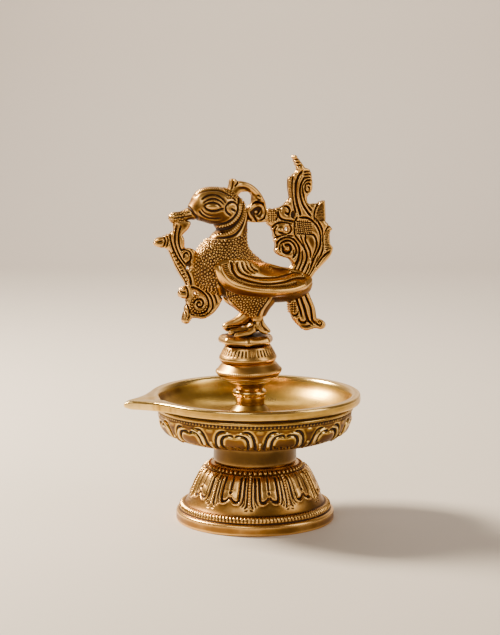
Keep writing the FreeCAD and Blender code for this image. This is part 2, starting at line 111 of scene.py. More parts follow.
class Relief:
    """Heights in mm over a surface's two coordinates, drawn with strokes: sizes first, then the points."""

    def __init__(self, places):
        self.places = places
        self.raised = np.zeros(len(places))
        self.sunk = np.zeros(len(places))
        self.cuts = []
        self.broad = 1.0         # how much wider than drawn its grooves are cut

    def near(self, points, reach):
        """Which places lie near a stroke, how far from it, how far along it, and the stroke's length."""
        line = spline(points, 0.5)
        inside = np.flatnonzero(
            ((self.places > line.min(0) - reach) & (self.places < line.max(0) + reach)).all(1)
        )
        p = self.places[inside]
        best, along, travelled = np.full(len(p), np.inf), np.zeros(len(p)), 0.0
        for a, b in zip(line[:-1], line[1:]):
            run = b - a
            length = math.hypot(*run)
            if length < 1e-9:
                continue
            t = np.clip((p - a) @ run / length ** 2, 0, 1)
            distance = np.hypot(*(p - a - t[:, None] * run).T)
            closer = distance < best
            best[closer] = distance[closer]
            along[closer] = travelled + t[closer] * length
            travelled += length
        return inside, best, along, travelled

    def swell(self, points, width, taper):
        """Which places a stroke covers, and its height there as a share that tapers off at its ends."""
        index, distance, along, length = self.near(points, width)
        ends = np.clip(np.minimum(along, length - along) / taper + 0.25, 0, 1)
        return index, ends * bell(distance, width)

    def groove(self, width, depth, *points, taper=1.2):
        self.cuts.append(spline(points, 0.3))
        index, share = self.swell(points, width * self.broad, taper)
        self.sunk[index] = np.minimum(self.sunk[index], -depth * share)

    def ridge(self, width, height, *points, taper=1.2):
        index, share = self.swell(points, width, taper)
        self.raised[index] = np.maximum(self.raised[index], height * share)

    def rope(self, width, height, pitch, slant, *points):
        """A ridge notched across at every pitch."""
        index, distance, along, _ = self.near(points, width)
        notch = 0.62 + 0.38 * np.cos(FULL_TURN * (along + slant * distance) / pitch)
        self.raised[index] = np.maximum(self.raised[index], height * notch * bell(distance, width))

    def beads(self, radius, height, pitch, *points):
        index, distance, along, _ = self.near(points, radius)
        off = (along / pitch) % 1.0 - 0.5
        r2 = (distance ** 2 + (off * pitch) ** 2) / radius ** 2
        self.raised[index] = np.maximum(self.raised[index], height * np.sqrt(np.clip(1 - r2, 0, None)))

    def mound(self, centre, radii, height, turn=0.0):
        """An oval rise, or a hollow when the height is negative."""
        c, s = math.cos(math.radians(turn)), math.sin(math.radians(turn))
        x, y = (self.places - centre).T
        r2 = ((x * c + y * s) / radii[0]) ** 2 + ((y * c - x * s) / radii[1]) ** 2
        rise = height * np.clip(1 - r2, 0, None) ** 0.75
        if height > 0:
            self.raised = np.maximum(self.raised, rise)
        else:
            self.sunk = np.minimum(self.sunk, rise)

    def dots(self, centres, radius, height, moat):
        """Round grains, each in a moat that is sunk round it."""
        low, high = np.min(centres, 0) - radius, np.max(centres, 0) + radius
        inside = np.flatnonzero(((self.places > low) & (self.places < high)).all(1))
        distance = distances(nearest_tree(centres), self.places[inside])
        dome = height * np.sqrt(np.clip(1 - (distance / radius) ** 2, 0, None))
        self.raised[inside] = np.maximum(self.raised[inside], dome)
        gap = -moat * smooth_step(distance, radius * 0.8, radius) * (distance < radius * 1.5)
        self.sunk[inside] = np.minimum(self.sunk[inside], gap)

    def pillow(self, height, reach):
        """Swells what lies between grooves, so that each lobe has a round top."""
        distance = distances(nearest_tree(np.vstack(self.cuts)), self.places)
        self.raised += height * (np.sqrt(1 - (1 - np.clip(distance / reach, 0, 1)) ** 2) - 0.5)

    def height(self):
        return self.raised + self.sunk


def spiral(centre, start_radius, end_radius, start_degrees, turns):
    """Points of a spiral stroke that runs anticlockwise."""
    count = int(turns * 12)
    points = []
    for k in range(count + 1):
        t = k / count
        a = math.radians(start_degrees) + FULL_TURN * turns * t
        r = start_radius + (end_radius - start_radius) * t
        points.append((centre[0] + r * math.cos(a), centre[1] + r * math.sin(a)))
    return points


# ---- meshes ---------------------------------------------------------------------------------------
def new_mesh_object(name, verts_mm, faces):
    mesh = bpy.data.meshes.new(name)
    mesh.from_pydata((np.asarray(verts_mm) * MM).tolist(), [], [list(map(int, f)) for f in faces])
    mesh.validate()
    mesh.shade_smooth()
    obj = bpy.data.objects.new(name, mesh)
    bpy.context.scene.collection.objects.link(obj)
    return obj


def read(data, field, size, kind=float):
    """One field of all of a mesh's vertices, edges or attribute values, a row each."""
    out = np.empty(len(data) * size, kind)
    data.foreach_get(field, out)
    return out.reshape(-1, size)


def vertices(obj):
    return read(obj.data.vertices, "co", 3) / MM


def set_vertices(obj, co):
    obj.data.vertices.foreach_set("co", (co * MM).ravel())
    obj.data.update()


def normals(obj):
    obj.data.update()
    return read(obj.data.vertex_normals, "vector", 3)


def edges(obj):
    return read(obj.data.edges, "vertices", 2, int)


def relax(values, links, rounds, share=1.0):
    """Each vertex's value moves to the mean of its neighbours', so many rounds."""
    count = np.bincount(links.ravel(), minlength=len(values)).clip(1)[:, None]
    for _ in range(rounds):
        total = np.zeros_like(values)
        for axis in range(values.shape[1]):
            for a, b in ((0, 1), (1, 0)):
                total[:, axis] += np.bincount(links[:, a], values[links[:, b], axis], len(values))
        values = values + share * (total / count - values)
    return values


UNDERSIDE_PAINTED_SHADE = 0.15      # painted shade: mm of hollow that a face turned down counts for
TOP_PAINTED_LIGHT = 0.07                # painted light: mm of height that a face turned up counts for


def store_wear_and_shading(obj, reach_mm=0.9):
    """Writes how hollow (above 0) or proud (below 0) each spot is, which drives the patina.
    Painted shade on faces turned down and painted light on faces turned up are added to it.
    """
    co, links = vertices(obj), edges(obj)
    spacing = np.median(np.linalg.norm(co[links[:, 0]] - co[links[:, 1]], axis=1))
    rounds = int(np.clip((reach_mm / spacing) ** 2 * 1.6, 4, 40))
    around = relax(co, links, rounds)
    n = normals(obj)
    hollow = ((around - co) * n).sum(1)
    # Painted shade on faces turned down and painted light on faces turned up, added to the patina.
    hollow += UNDERSIDE_PAINTED_SHADE * np.clip(-n[:, 2], 0, 1) - TOP_PAINTED_LIGHT * np.clip(n[:, 2], 0, 1)
    layer = obj.data.attributes.new("hollow", "FLOAT", "POINT")
    layer.data.foreach_set("value", hollow.astype(np.float32))


def tarnish_and_shade(obj, amount, most=9.0):
    """More patina and painted shade, or less when negative: mm of hollow added to each vertex's, up to the
    most allowed.
    """
    data = obj.data.attributes["hollow"].data
    data.foreach_set("value", np.minimum(read(data, "value", 1)[:, 0] + amount, most))


def edit(obj, change):
    """Makes a change to an object's mesh in its editable form."""
    bm = bmesh.new()
    bm.from_mesh(obj.data)
    change(bm)
    bm.to_mesh(obj.data)
    bm.free()
    obj.data.shade_smooth()


def remeshed(obj, voxel_mm):
    """Melts an object's overlapping shells into one even skin."""
    modifier = obj.modifiers.new("melt", "REMESH")
    modifier.mode = "VOXEL"
    modifier.voxel_size = voxel_mm * MM
    shape = obj.evaluated_get(bpy.context.evaluated_depsgraph_get())
    mesh = bpy.data.meshes.new_from_object(shape)
    obj.modifiers.clear()
    old = obj.data
    obj.data = mesh
    bpy.data.meshes.remove(old)
    mesh.name = obj.name
    mesh.shade_smooth()
    return obj


def grid_faces(rows, columns, close_rows, close_columns):
    i = np.arange(rows if close_rows else rows - 1)[:, None]
    j = np.arange(columns if close_columns else columns - 1)[None, :]
    up, side = (i + 1) % rows, (j + 1) % columns
    corners = [i * columns + j, i * columns + side, up * columns + side, up * columns + j]
    return np.stack([np.broadcast_to(c, (len(i), j.shape[1])) for c in corners], -1).reshape(-1, 4)


# ---- turned pieces -----------------------------------------------------------------------------------
def profile_line(stretches, soften=2):
    """A turned outline from (step, points) stretches, with its corners eased. Returns radius and height."""
    runs = []
    for kind, step, points in stretches:
        if kind == "curve":
            line = spline(points, step)
        else:
            line = np.vstack([
                np.linspace(a, b, max(2, int(math.dist(a, b) / step) + 1))[:-1]
                for a, b in zip(points[:-1], points[1:])
            ] + [np.array(points[-1:])])
        runs.append(line if not runs else line[1:])
    line = np.vstack(runs)
    for _ in range(soften):
        line[1:-1] = 0.5 * line[1:-1] + 0.25 * (line[:-2] + line[2:])
    return line


def turned(name, stretches, columns, relief=None, centre_x=0.0, loop=False, soften=2):
    """A lathe-turned mesh, with so many columns or with columns at the angles given.

    relief(angle, along, radius, height) gives its raised pattern: mm out of the surface, or a pair of mm
    outwards and upwards. A loop's outline ends where it starts; any other runs from axis to axis.
    """
    line = profile_line(stretches, soften)
    if loop:
        line = line[:-1]
    after = np.roll(line, -1, 0) if loop else np.vstack([line[1:], line[-1:]])
    before = np.roll(line, 1, 0) if loop else np.vstack([line[:1], line[:-1]])
    tangent = after - before
    tangent /= np.linalg.norm(tangent, axis=1)[:, None]
    outward = np.stack([tangent[:, 1], -tangent[:, 0]], 1)
    along = np.r_[0, np.cumsum(np.linalg.norm(np.diff(line, axis=0), axis=1))]
    theta = np.linspace(0, FULL_TURN, columns, endpoint=False) if isinstance(columns, int) else columns
    angle, s = np.meshgrid(theta, along)
    radius, height = (np.repeat(line[:, k:k + 1], len(theta), 1) for k in (0, 1))
    if relief:
        rise = relief(angle, s, radius, height)
        out, up = rise if isinstance(rise, tuple) else (outward[:, :1] * rise, outward[:, 1:] * rise)
        radius, height = radius + out, height + up
    verts = np.stack([centre_x + radius * np.cos(angle), radius * np.sin(angle), height], -1)
    faces = grid_faces(len(line), len(theta), loop, True)
    obj = new_mesh_object(name, verts.reshape(-1, 3), faces)
    if not loop:         # the vertices that meet on the axis become one
        edit(obj, lambda bm: bmesh.ops.remove_doubles(bm, verts=bm.verts, dist=1e-6))
    return obj


def fold(angle, count, offset_degrees=0.0):
    """The angle from the nearest of so many evenly spaced spokes, in radians."""
    period = FULL_TURN / count
    return (angle - math.radians(offset_degrees) + period / 2) % period - period / 2


# ---- foot ------------------------------------------------------------------------------------------
def along_from(radius, height, s, r0, z0):
    """How far along the outline each row is from the row nearest a place on it."""
    row = np.argmin(np.hypot(radius[:, 0] - r0, height[:, 0] - z0))
    return s - s[row, 0]


def flipped(line, side):
    """A stroke as drawn on side 1, or mirrored on side -1."""
    return [(side * x, v) for x, v in line]


PETALS = 10
CROWN_BEADS = 60
ROPE_RIBS = 128
PETAL_BEARING = -95.1    # degrees round from +X to a petal's middle


def foot_relief(angle, s, radius, height):
    """Ten petals with beaded stems between, a bead ring at the crown and a rope ring at the hem."""
    bell_s = along_from(radius, height, s, 38.4, 9.8)
    flat = np.flatnonzero((bell_s > -0.2) & (bell_s < 27.6) & (radius > 23))
    turn, r, up = angle.ravel()[flat], radius.ravel()[flat], bell_s.ravel()[flat]

    petal = Relief(np.stack([fold(turn, PETALS, PETAL_BEARING) * r, up], 1))
    for side in (1, -1):
        leaf = [(0.25, 10.2), (0.9, 8.9), (2.2, 7.7), (3.9, 7.4), (5.0, 8.5), (5.15, 11), (4.9, 15),
                 (4.6, 18.5), (4.35, 22.3)]
        petal.groove(1.15, 1.15, *flipped(leaf, side))
        frame_line = [(6.0, 5.9), (7.0, 7.2), (7.35, 10), (7.05, 14), (6.7, 18), (6.35, 22.3)]
        petal.groove(0.85, 0.85, *flipped(frame_line, side))
        petal.ridge(0.9, 0.55, *[(side * x * 0.86, v - 0.4) for x, v in frame_line])
        curl = [(0.35, 9.4), (1.1, 8.0), (2.6, 6.4), (4.4, 6.1), (5.7, 7.2)]
        petal.ridge(0.85, 0.6, *flipped(curl, side))
    petal.groove(0.95, 0.95, (0.0, 22.6), (0.0, 18.5), (-0.1, 14.8), (-0.1, 12.6), taper=4.0)
    petal.mound((-0.1, 12.4), (0.95, 1.1), -0.8)
    petal.mound((0.0, 11.0), (4.6, 3.2), 0.35)

    stem = Relief(np.stack([fold(turn, PETALS, PETAL_BEARING + 180 / PETALS) * r, up], 1))
    stem.beads(0.72, 0.7, 1.5, (0, 4.9), (0, 22.0))
    for side in (1, -1):
        edge = [(2.3, 4.1), (1.5, 5.6), (1.15, 9), (1.05, 15), (1.0, 22.4)]
        stem.groove(0.6, 0.75, *flipped(edge, side))
        outer = [(3.9, 5.0), (2.9, 6.6), (2.6, 10), (2.4, 15), (2.2, 22.3)]
        stem.groove(0.55, 0.6, *flipped(outer, side))
        stem.groove(0.45, 0.4, (side * 0.7, 3.3), (side * 2.2, 2.9), taper=0.6)

    crown = Relief(np.stack([fold(turn, CROWN_BEADS) * r, up], 1))
    crown.mound((0, 25.0), (0.98, 1.55), 0.75)
    for ring in (22.9, 26.9):
        crown.sunk = np.minimum(crown.sunk, -0.45 * bell(up - ring, 0.6))
    gap = np.abs(up - 25.0) < 1.7
    crown.sunk[gap] = np.minimum(crown.sunk[gap], -0.3)

    rope = (np.abs(height - 8.3) < 1.7) & (radius > 38.4) & (radius < 42.0)
    round_tube = np.clip(1 - ((height - 8.4) / 1.5) ** 2, 0, None)
    ribs = 0.4 * np.cos(ROPE_RIBS * angle + 0.5 * (height - 8.4)) - 0.08
    rise = np.where(rope, ribs * round_tube, 0)
    rise.ravel()[flat] += petal.height() + stem.height() + crown.height()
    return rise


def make_foot():
    crown, boss = 32.0, 21.0
    outline = [
        ("line", 1.6, [(33.5, 9.0), (38.8, 0.0), (42.7, 0.0)]),
        ("curve", 0.35, [(42.7, 0.0), (43.3, 0.35), (43.4, 1.4), (43.4, 4.2), (43.15, 5.5), (42.3, 6.0)]),
        ("line", 0.45, [(42.3, 6.0), (41.3, 6.15)]),
        ("curve", 0.32, [(41.3, 6.15), (41.55, 7.2), (41.2, 8.6), (40.1, 9.6), (39.0, 9.65), (38.4, 9.9)]),
        ("curve", 0.34, [(38.4, 9.9), (37.3, 11.6), (35.5, 15.5), (33.2, 21.0), (30.4, 26.5), (27.6, 29.4),
                         (25.2, 31.2), (23.6, crown)]),
        ("line", 2.2, [(23.6, crown), (8.05, crown), (8.05, boss), (13.0, boss), (14.5, 27.0)]),
        ("curve", 2.4, [(14.5, 27.0), (20.0, 25.9), (25.6, 23.6), (29.3, 19.8), (31.6, 15.0), (33.5, 9.0)]),
    ]
    return turned("Foot_bell", outline, 570, foot_relief, loop=True, soften=1)


def make_collar():
    low, top, bore = 32.0, 43.3, 8.3
    outline = [
        ("line", 0.7, [(bore, low), (22.3, low), (22.9, 32.7), (22.7, 38.0), (22.9, 42.6), (22.4, top),
                       (bore, top), (bore, low)]),
    ]
    return turned("Neck_collar", outline, 220, loop=True)


def thread_relief(pitch, depth, low, high):
    """A helical groove between two heights."""
    def relief(angle, s, radius, height):
        turn = (height / pitch - angle / FULL_TURN) % 1.0
        wave = np.abs(turn - 0.5) * 2
        inside = smooth_step(height, low, low + 0.8) * (1 - smooth_step(height, high - 0.8, high))
        on_side = radius > radius.max() * 0.9
        return -depth * wave * inside * on_side
    return relief


def make_spigot():
    low, high = node_box("dish_spigot")
    outline = [("line", 0.25, [(0, low[2]), (7.0, low[2]), (8.0, low[2] + 1.0), (8.0, high[2] - 1.0)]),
               ("line", 1.5, [(8.0, high[2] - 1.0), (8.0, high[2] - 0.2), (0, high[2] - 0.2)])]
    return turned("Dish_spigot", outline, 120, thread_relief(2.0, 1.0, low[2] + 0.4, 42.6))


# ---- dish --------------------------------------------------------------------------------------------
LOBES = 12
NOTCHES = 160            # punch marks in the row above the lobes
LOBE_BEARING = -90.1     # degrees round from +X to a lobe's middle
RIM_R = 57.8
SPOUT_TIP = 74.0


def spout_reach(angle):
    """Radius of the rim's outer edge, which runs out into the spout round the -X side."""
    off = np.abs((angle % FULL_TURN) - math.pi)
    y_half = np.array([0.0, 1.1, 2.8, 5.4, 8.5, 11.6, 14.8, 18.4, 21.6, 25.0])
    x_out = np.array([74.0, 73.2, 70.2, 66.8, 63.5, 60.6, 58.2, 56.0, 53.95, 52.1])
    bearing = np.arctan2(y_half, x_out)
    return np.maximum(RIM_R, np.interp(off, bearing, np.hypot(x_out, y_half), right=0))


def dish_relief(angle, s, radius, height):
    """Lobed border and bead ring outside; the rim drawn out into the spout, with its wick channel."""
    wall_s = along_from(radius, height, s, 23.5, 43.3)
    flat = np.flatnonzero((wall_s > 0.5) & (height < 65.4) & (s < s.max() * 0.5))
    turn, r, up = angle.ravel()[flat], radius.ravel()[flat], wall_s.ravel()[flat]
    lobe = Relief(np.stack([fold(turn, LOBES, LOBE_BEARING) * r, up], 1))
    heart = [(0.3, 34.3), (1.7, 35.2), (3.7, 35.4), (5.6, 34.5), (6.8, 32.4), (7.1, 29.6), (6.7, 26.4),
             (6.0, 23.6), (5.4, 21.6)]
    arch = [(4.9, 37.3), (7.2, 37.5), (9.2, 36.0), (10.3, 33.2), (10.6, 29.6), (10.2, 25.6), (9.4, 21.5)]
    heart, arch = ([(x, 21.5 + (v - 21.5) * 0.92) for x, v in line] for line in (heart, arch))
    band = [(x * 1.24, 27 + (v - 27) * 1.15) for x, v in heart[1:-2]]
    for side in (1, -1):
        lobe.groove(1.0, 1.1, *flipped(heart, side), taper=0.8)
        lobe.groove(1.0, 1.1, *flipped(arch, side), taper=1.6)
        lobe.ridge(1.3, 0.7, *flipped(band, side), taper=2.0)
    lobe.mound((0, 29.0), (6.8, 6.0), 0.6)
    scratches = ((-4.6, 23.6, 27.6), (-2.9, 22.6, 26.2), (-1.0, 22.4, 27.4), (0.9, 22.6, 26.0),
                 (2.7, 22.4, 27.0), (4.3, 23.4, 26.4))
    for x, low_end, high_end in scratches:
        lobe.groove(0.75, 1.1, (x + 0.7, low_end), (x - 0.9, high_end), taper=0.7)

    strip = Relief(np.stack([fold(turn, LOBES, LOBE_BEARING + 180 / LOBES) * r, up], 1))
    strip.beads(0.75, 0.7, 1.5, (0, 22.4), (0, 29.4))
    strip.mound((0, 36.0), (2.6, 1.6), 0.25)

    punch = Relief(np.stack([fold(turn, NOTCHES) * r, up], 1))
    punch.mound((0, 39.2), (0.75, 0.95), 0.75)
    rings = np.zeros(len(flat))
    for at, width, depth in ((37.9, 0.5, 0.3), (39.3, 1.2, 0.95), (40.8, 0.45, 0.35), (44.6, 0.7, 0.3),
                             (21.0, 0.6, 0.4)):
        rings = np.minimum(rings, -depth * np.clip(1 - ((up - at) / width) ** 2, 0, None) ** 1.5)
    rise = np.zeros(angle.shape)
    fade = smooth_step(up, 19.5, 22.0)
    rise.ravel()[flat] = (lobe.height() + strip.height()) * fade + punch.height() + rings

    out, lift = (share * rise for share in rise_direction(radius, height))
    on_rim = height > 64.9
    share = np.where(on_rim, smooth_step(radius, 53.2, 57.2), 0)
    out = out + radius * (spout_reach(angle) / RIM_R - 1) * share
    x, y = (radius + out) * np.cos(angle), (radius + out) * np.sin(angle)
    beyond = np.clip((-x - 55.0) / (SPOUT_TIP - 55.0), 0, 1) * (np.abs(y) < 30) * on_rim
    nose = smooth_step(-x, 68.0, SPOUT_TIP + 0.4)
    lift = lift + ((67.5 - height) * 0.5 * nose ** 2 - 0.4 * beyond) * share
    channel_half = np.interp(-x, [48, 56, 66, 73.5], [9.5, 7.0, 3.6, 0.8])
    channel_deep = np.interp(-x, [47, 53, 58, 66, 72, 74], [0, 0.7, 0.75, 0.5, 0.15, 0])
    on_deck = smooth_step(height, 68.2, 69.4) * (s > s.max() * 0.5) * (x < 0)
    lift = lift - channel_deep * bell(y, channel_half) * on_deck
    return out, lift


def rise_direction(radius, height):
    """Unit vector out of the surface, row by row, from the outline itself."""
    step_r = np.gradient(radius[:, 0])
    step_z = np.gradient(height[:, 0])
    size = np.hypot(step_r, step_z).clip(1e-9)
    return (step_z / size)[:, None], (-step_r / size)[:, None]


def make_dish():
    under, rim_low, rim_top, floor = 43.3, 65.3, 70.2, 54.0
    outline = [
        ("line", 3.0, [(0.0, under), (20.0, under)]),
        ("line", 1.2, [(20.0, under), (23.5, under)]),
        ("curve", 1.4, [(23.5, under), (30.0, 44.0), (36.0, 44.9), (41.0, 46.0), (43.0, 46.6)]),
        ("curve", 0.42, [(43.0, 46.6), (44.0, 46.9), (45.6, 47.55), (47.5, 48.6), (50.0, 50.6), (51.5, 53.0),
                         (52.7, 57.0), (53.2, 61.0)]),
        ("curve", 0.35, [(53.2, 61.0), (54.0, 61.7), (54.2, 62.6), (53.5, 63.6), (52.9, 64.2)]),
        ("line", 0.5, [(52.9, 64.2), (53.6, 65.0), (57.0, rim_low)]),
        ("line", 0.3, [(57.0, rim_low), (57.6, 65.7), (RIM_R, 67.0), (57.75, 69.3), (57.3, 70.0),
                       (56.8, rim_top)]),
        ("line", 0.4, [(56.8, rim_top), (53.6, 70.1)]),
        ("curve", 0.75, [(53.6, 70.1), (52.6, 68.8), (51.0, 64.8), (46.5, 59.6), (39.5, 55.6),
                         (30.0, floor)]),
        ("line", 3.0, [(30.0, floor), (12.0, floor), (0.0, floor)]),
    ]
    even = np.linspace(0, FULL_TURN, 560, endpoint=False)
    spout_half_angle = 0.42
    by_spout = math.pi + np.linspace(-spout_half_angle, spout_half_angle, 91)
    elsewhere = even[np.abs(even - math.pi) > spout_half_angle + 0.005]
    return turned("Oil_dish", outline, np.sort(np.r_[elsewhere, by_spout]), dish_relief, soften=1)


# ---- stem and turned rings of the finial ---------------------------------------------------------------
STEM_X = -3.5


def slid(obj, slide, tip=0.0):
    """A hand-fitted look: the outside of a turned piece sits off its bore along X, and tips."""
    co = vertices(obj)
    off = co[:, 0] - STEM_X
    outside = smooth_step(np.hypot(off, co[:, 1]), 5.0, 7.0)
    co[:, 0] += slide * outside
    co[:, 2] += tip * off * outside
    set_vertices(obj, co)
    return obj


def make_stem():
    floor, top = 54.0, 68.6
    outline = [
        ("line", 0.5, [(0.0, floor), (15.4, floor)]),
        ("curve", 0.3, [(15.4, floor), (15.9, 54.5), (15.3, 55.5), (12.6, 58.3), (9.6, 61.7), (7.9, 63.8)]),
        ("line", 0.25, [(7.9, 63.8), (7.6, 64.1), (7.9, 64.4)]),
        ("curve", 0.3, [(7.9, 64.4), (7.85, 65.6), (8.1, 67.2), (8.4, top)]),
        ("line", 0.8, [(8.3, top), (4.05, top), (4.05, 58.0), (0.0, 58.0)]),
    ]
    return slid(turned("Stem", outline, 200, centre_x=STEM_X, soften=1), 0.8)


def make_stem_ring():
    low, top = 68.6, 72.1
    outline = [("line", 0.5, [(4.3, low), (8.35, low)]),
               ("curve", 0.22, [(8.35, low), (8.9, 69.3), (9.15, 70.2), (9.0, 71.1), (8.5, 71.8),
                                (7.7, top)]),
               ("line", 0.6, [(7.7, top), (4.3, top), (4.3, low)])]

    def bead_line(angle, s, radius, height):
        across = fold(angle, 26) * 8.8
        dots = np.clip(1 - (across ** 2 + (height - 69.3) ** 2) / 0.35, 0, None)
        groove = np.clip(1 - ((height - 69.3) / 0.6) ** 2, 0, None)
        return (0.3 * dots - 0.25 * groove) * (radius > 8)

    return slid(turned("Stem_ring", outline, 312, bead_line, STEM_X, loop=True), 0.4)


def make_cup():
    low, top = 72.1, 80.2
    outline = [
        ("curve", 0.25, [(7.3, low), (7.8, 73.2), (8.5, 74.6), (9.7, 75.9), (10.6, 76.3)]),
        ("line", 0.25, [(10.6, 76.3), (11.5, 76.5), (11.8, 77.1), (11.4, 77.6), (13.7, 78.0), (14.2, 78.5),
                        (13.9, 79.1), (16.1, 79.4), (16.6, 79.8), (16.5, top)]),
        ("line", 0.9, [(16.5, top), (4.0, top), (4.0, low), (7.3, low)]),
    ]
    return slid(turned("Drip_cup", outline, 260, centre_x=STEM_X, loop=True, soften=1), 0.3, 0.012)


def make_lower_disc():
    low, top = 80.2, 87.7
    outline = [
        ("line", 0.25, [(15.6, low), (16.4, low)]),
        ("curve", 0.22, [(16.4, low), (17.4, 81.2), (18.0, 82.3), (17.9, 83.2)]),
        ("line", 0.25, [(17.9, 83.2), (14.6, 87.2), (14.2, top)]),
        ("line", 0.9, [(14.2, top), (4.0, top), (4.0, low), (15.6, low)]),
    ]

    def marks(angle, s, radius, height):
        on_edge = np.clip(1 - ((height - 82.9) / 1.1) ** 2, 0, None) * (radius > 16.5)
        nicks = 0.14 * np.cos(96 * angle) * on_edge
        slow = 0.12 * np.sin(3 * angle + 0.7) + 0.07 * np.sin(7 * angle)
        return nicks + slow * (radius > 12) * smooth_step(height, 80.4, 82)

    return slid(turned("Lower_disc", outline, 384, marks, STEM_X, loop=True, soften=1), 0.0, 0.03)


def make_upper_disc():
    low, top = 87.7, 96.8
    outline = [
        ("line", 0.3, [(13.0, low), (14.2, low)]),
        ("curve", 0.22, [(14.2, low), (15.2, 88.4), (15.8, 89.5), (15.7, 90.6)]),
        ("line", 0.25, [(15.7, 90.6), (12.9, 95.9)]),
        ("curve", 0.22, [(12.9, 95.9), (12.3, 96.6), (11.0, top)]),
        ("line", 0.9, [(11.0, top), (4.0, top), (4.0, low), (13.0, low)]),
    ]

    def flutes(angle, s, radius, height):
        on_cone = smooth_step(height, 91.6, 92.4) * (1 - smooth_step(height, 94.8, 95.6)) * (radius > 11)
        uneven = 0.75 + 0.25 * np.sin(5 * angle + 1.1)
        return -0.42 * uneven * np.abs(np.cos(21 * angle)) ** 5 * on_cone

    return slid(turned("Upper_disc", outline, 384, flutes, STEM_X, loop=True, soften=1), -0.6, 0.02)


def make_perch():
    """Plate under the feet, its edge cut to flats."""
    low, top = 96.8, 102.4
    centre = STEM_X - 1.7
    outline = [
        ("line", 0.4, [(0.0, low), (10.2, low)]),
        ("curve", 0.22, [(10.2, low), (10.8, 97.1), (12.2, 97.4), (14.0, 97.8)]),
        ("curve", 0.22, [(14.0, 97.8), (15.0, 98.3), (15.3, 99.3), (15.0, 100.6), (14.1, 101.8),
                         (12.7, top)]),
        ("line", 0.6, [(12.9, top), (0.0, top)]),
    ]

    def flats(angle, s, radius, height):
        side = smooth_step(radius, 11.4, 13.4)
        corner = 14.0 / np.cos(fold(angle, 7, 180)) - 15.2
        return np.minimum(corner, 0.0) * side * 0.7

    return turned("Perch_plate", outline, 300, flats, centre)


def make_stud():
    low, high = node_box("finial_stud")
    outline = [("line", 0.22, [(0, low[2]), (3.2, low[2]), (4.0, low[2] + 0.8), (4.0, 71.5)]),
               ("line", 1.5, [(4.0, 71.5), (4.0, high[2] - 0.2), (0, high[2] - 0.2)])]
    return turned("Finial_stud", outline, 72, thread_relief(1.25, 0.6, low[2] + 0.4, 71.0), STEM_X)


# ---- bird's sprays: flat castings with a carved pattern on both faces ------------------------------------
MIDDLE = (0.7, -0.3)     # from a spray's near face, where its pattern is drawn, to its middle plane
SPRAY_INSET = 0.25       # mm that a spray's outline shrinks by before its edges are eased


def shrunk(loop, inset):
    """A closed outline moved inwards by a little."""
    ahead, behind = np.roll(loop, -1, 0), np.roll(loop, 1, 0)
    along = ahead - behind
    inward = np.stack([-along[:, 1], along[:, 0]], 1) / np.linalg.norm(along, axis=1).clip(1e-6)[:, None]
    turns = (loop[:, 0] * ahead[:, 1] - ahead[:, 0] * loop[:, 1]).sum()
    return loop + inward * inset * np.sign(turns)


def plate(name, runs, half, holes=(), edge_round=1.5, inset=SPRAY_INSET, shift=MIDDLE):
    """A flat casting in the X-Z plane, with eased edges.

    Its outline is smooth runs that meet at corners. Each run goes on from the end of the one before it,
    and the first from the end of the last.
    """
    starts = [runs[-1][-1]] + [run[-1] for run in runs[:-1]]
    outline = np.vstack([spline([start, *run], 0.5)[:-1] for start, run in zip(starts, runs)])
    loops = [shrunk(outline, inset) + shift]
    for x, z, radius in holes:
        ring = np.linspace(0, FULL_TURN, 18, endpoint=False)
        loops.append(np.stack([x + radius * np.cos(ring), z + radius * np.sin(ring)], 1) + shift)
    flat = np.vstack(loops)
    count = len(flat)
    triangles = tessellate_polygon([[Vector((x, z, 0)) for x, z in loop] for loop in loops])
    verts = [(x, -half, z) for x, z in flat] + [(x, half, z) for x, z in flat]
    faces = [tuple(t) for t in triangles] + [tuple(i + count for i in reversed(t)) for t in triangles]
    start = 0
    for loop in loops:
        for i in range(len(loop)):
            a, b = start + i, start + (i + 1) % len(loop)
            faces.append((a, b, b + count, a + count))
        start += len(loop)
    obj = new_mesh_object(name, verts, faces)
    edit(obj, lambda bm: bmesh.ops.recalc_face_normals(bm, faces=bm.faces))
    remeshed(obj, 0.27)
    co = vertices(obj)
    from_rim = distances(nearest_tree(flat), co[:, [0, 2]])
    ease = np.sqrt(1 - (1 - np.clip(from_rim / edge_round, 0, 1)) ** 2)
    co[:, 1] *= 0.36 + 0.64 * ease
    set_vertices(obj, relax(co, edges(obj), 2, 0.6))
    return obj


def carve(obj, relief, lift=1.0, fade=(0.15, 0.6)):
    """Moves a casting's broad faces by the heights drawn on them, fading out where they turn to its edge."""
    n = normals(obj)
    facing = smooth_step(np.abs(n[:, 1]), *fade)
    set_vertices(obj, vertices(obj) + n * (relief.height() * facing * lift)[:, None])
    return obj


def face_relief(obj):
    """An empty relief over an object's X and Z."""
    return Relief(vertices(obj)[:, [0, 2]])


def rungs(left, right, count):
    """Short cross strokes between two lines, evenly spaced along both."""
    a, b = (spline(line, 0.2) for line in (left, right))
    pick = [np.linspace(0, len(line) - 1, count).astype(int) for line in (a, b)]
    return [[a[i], b[j]] for i, j in zip(*pick)]


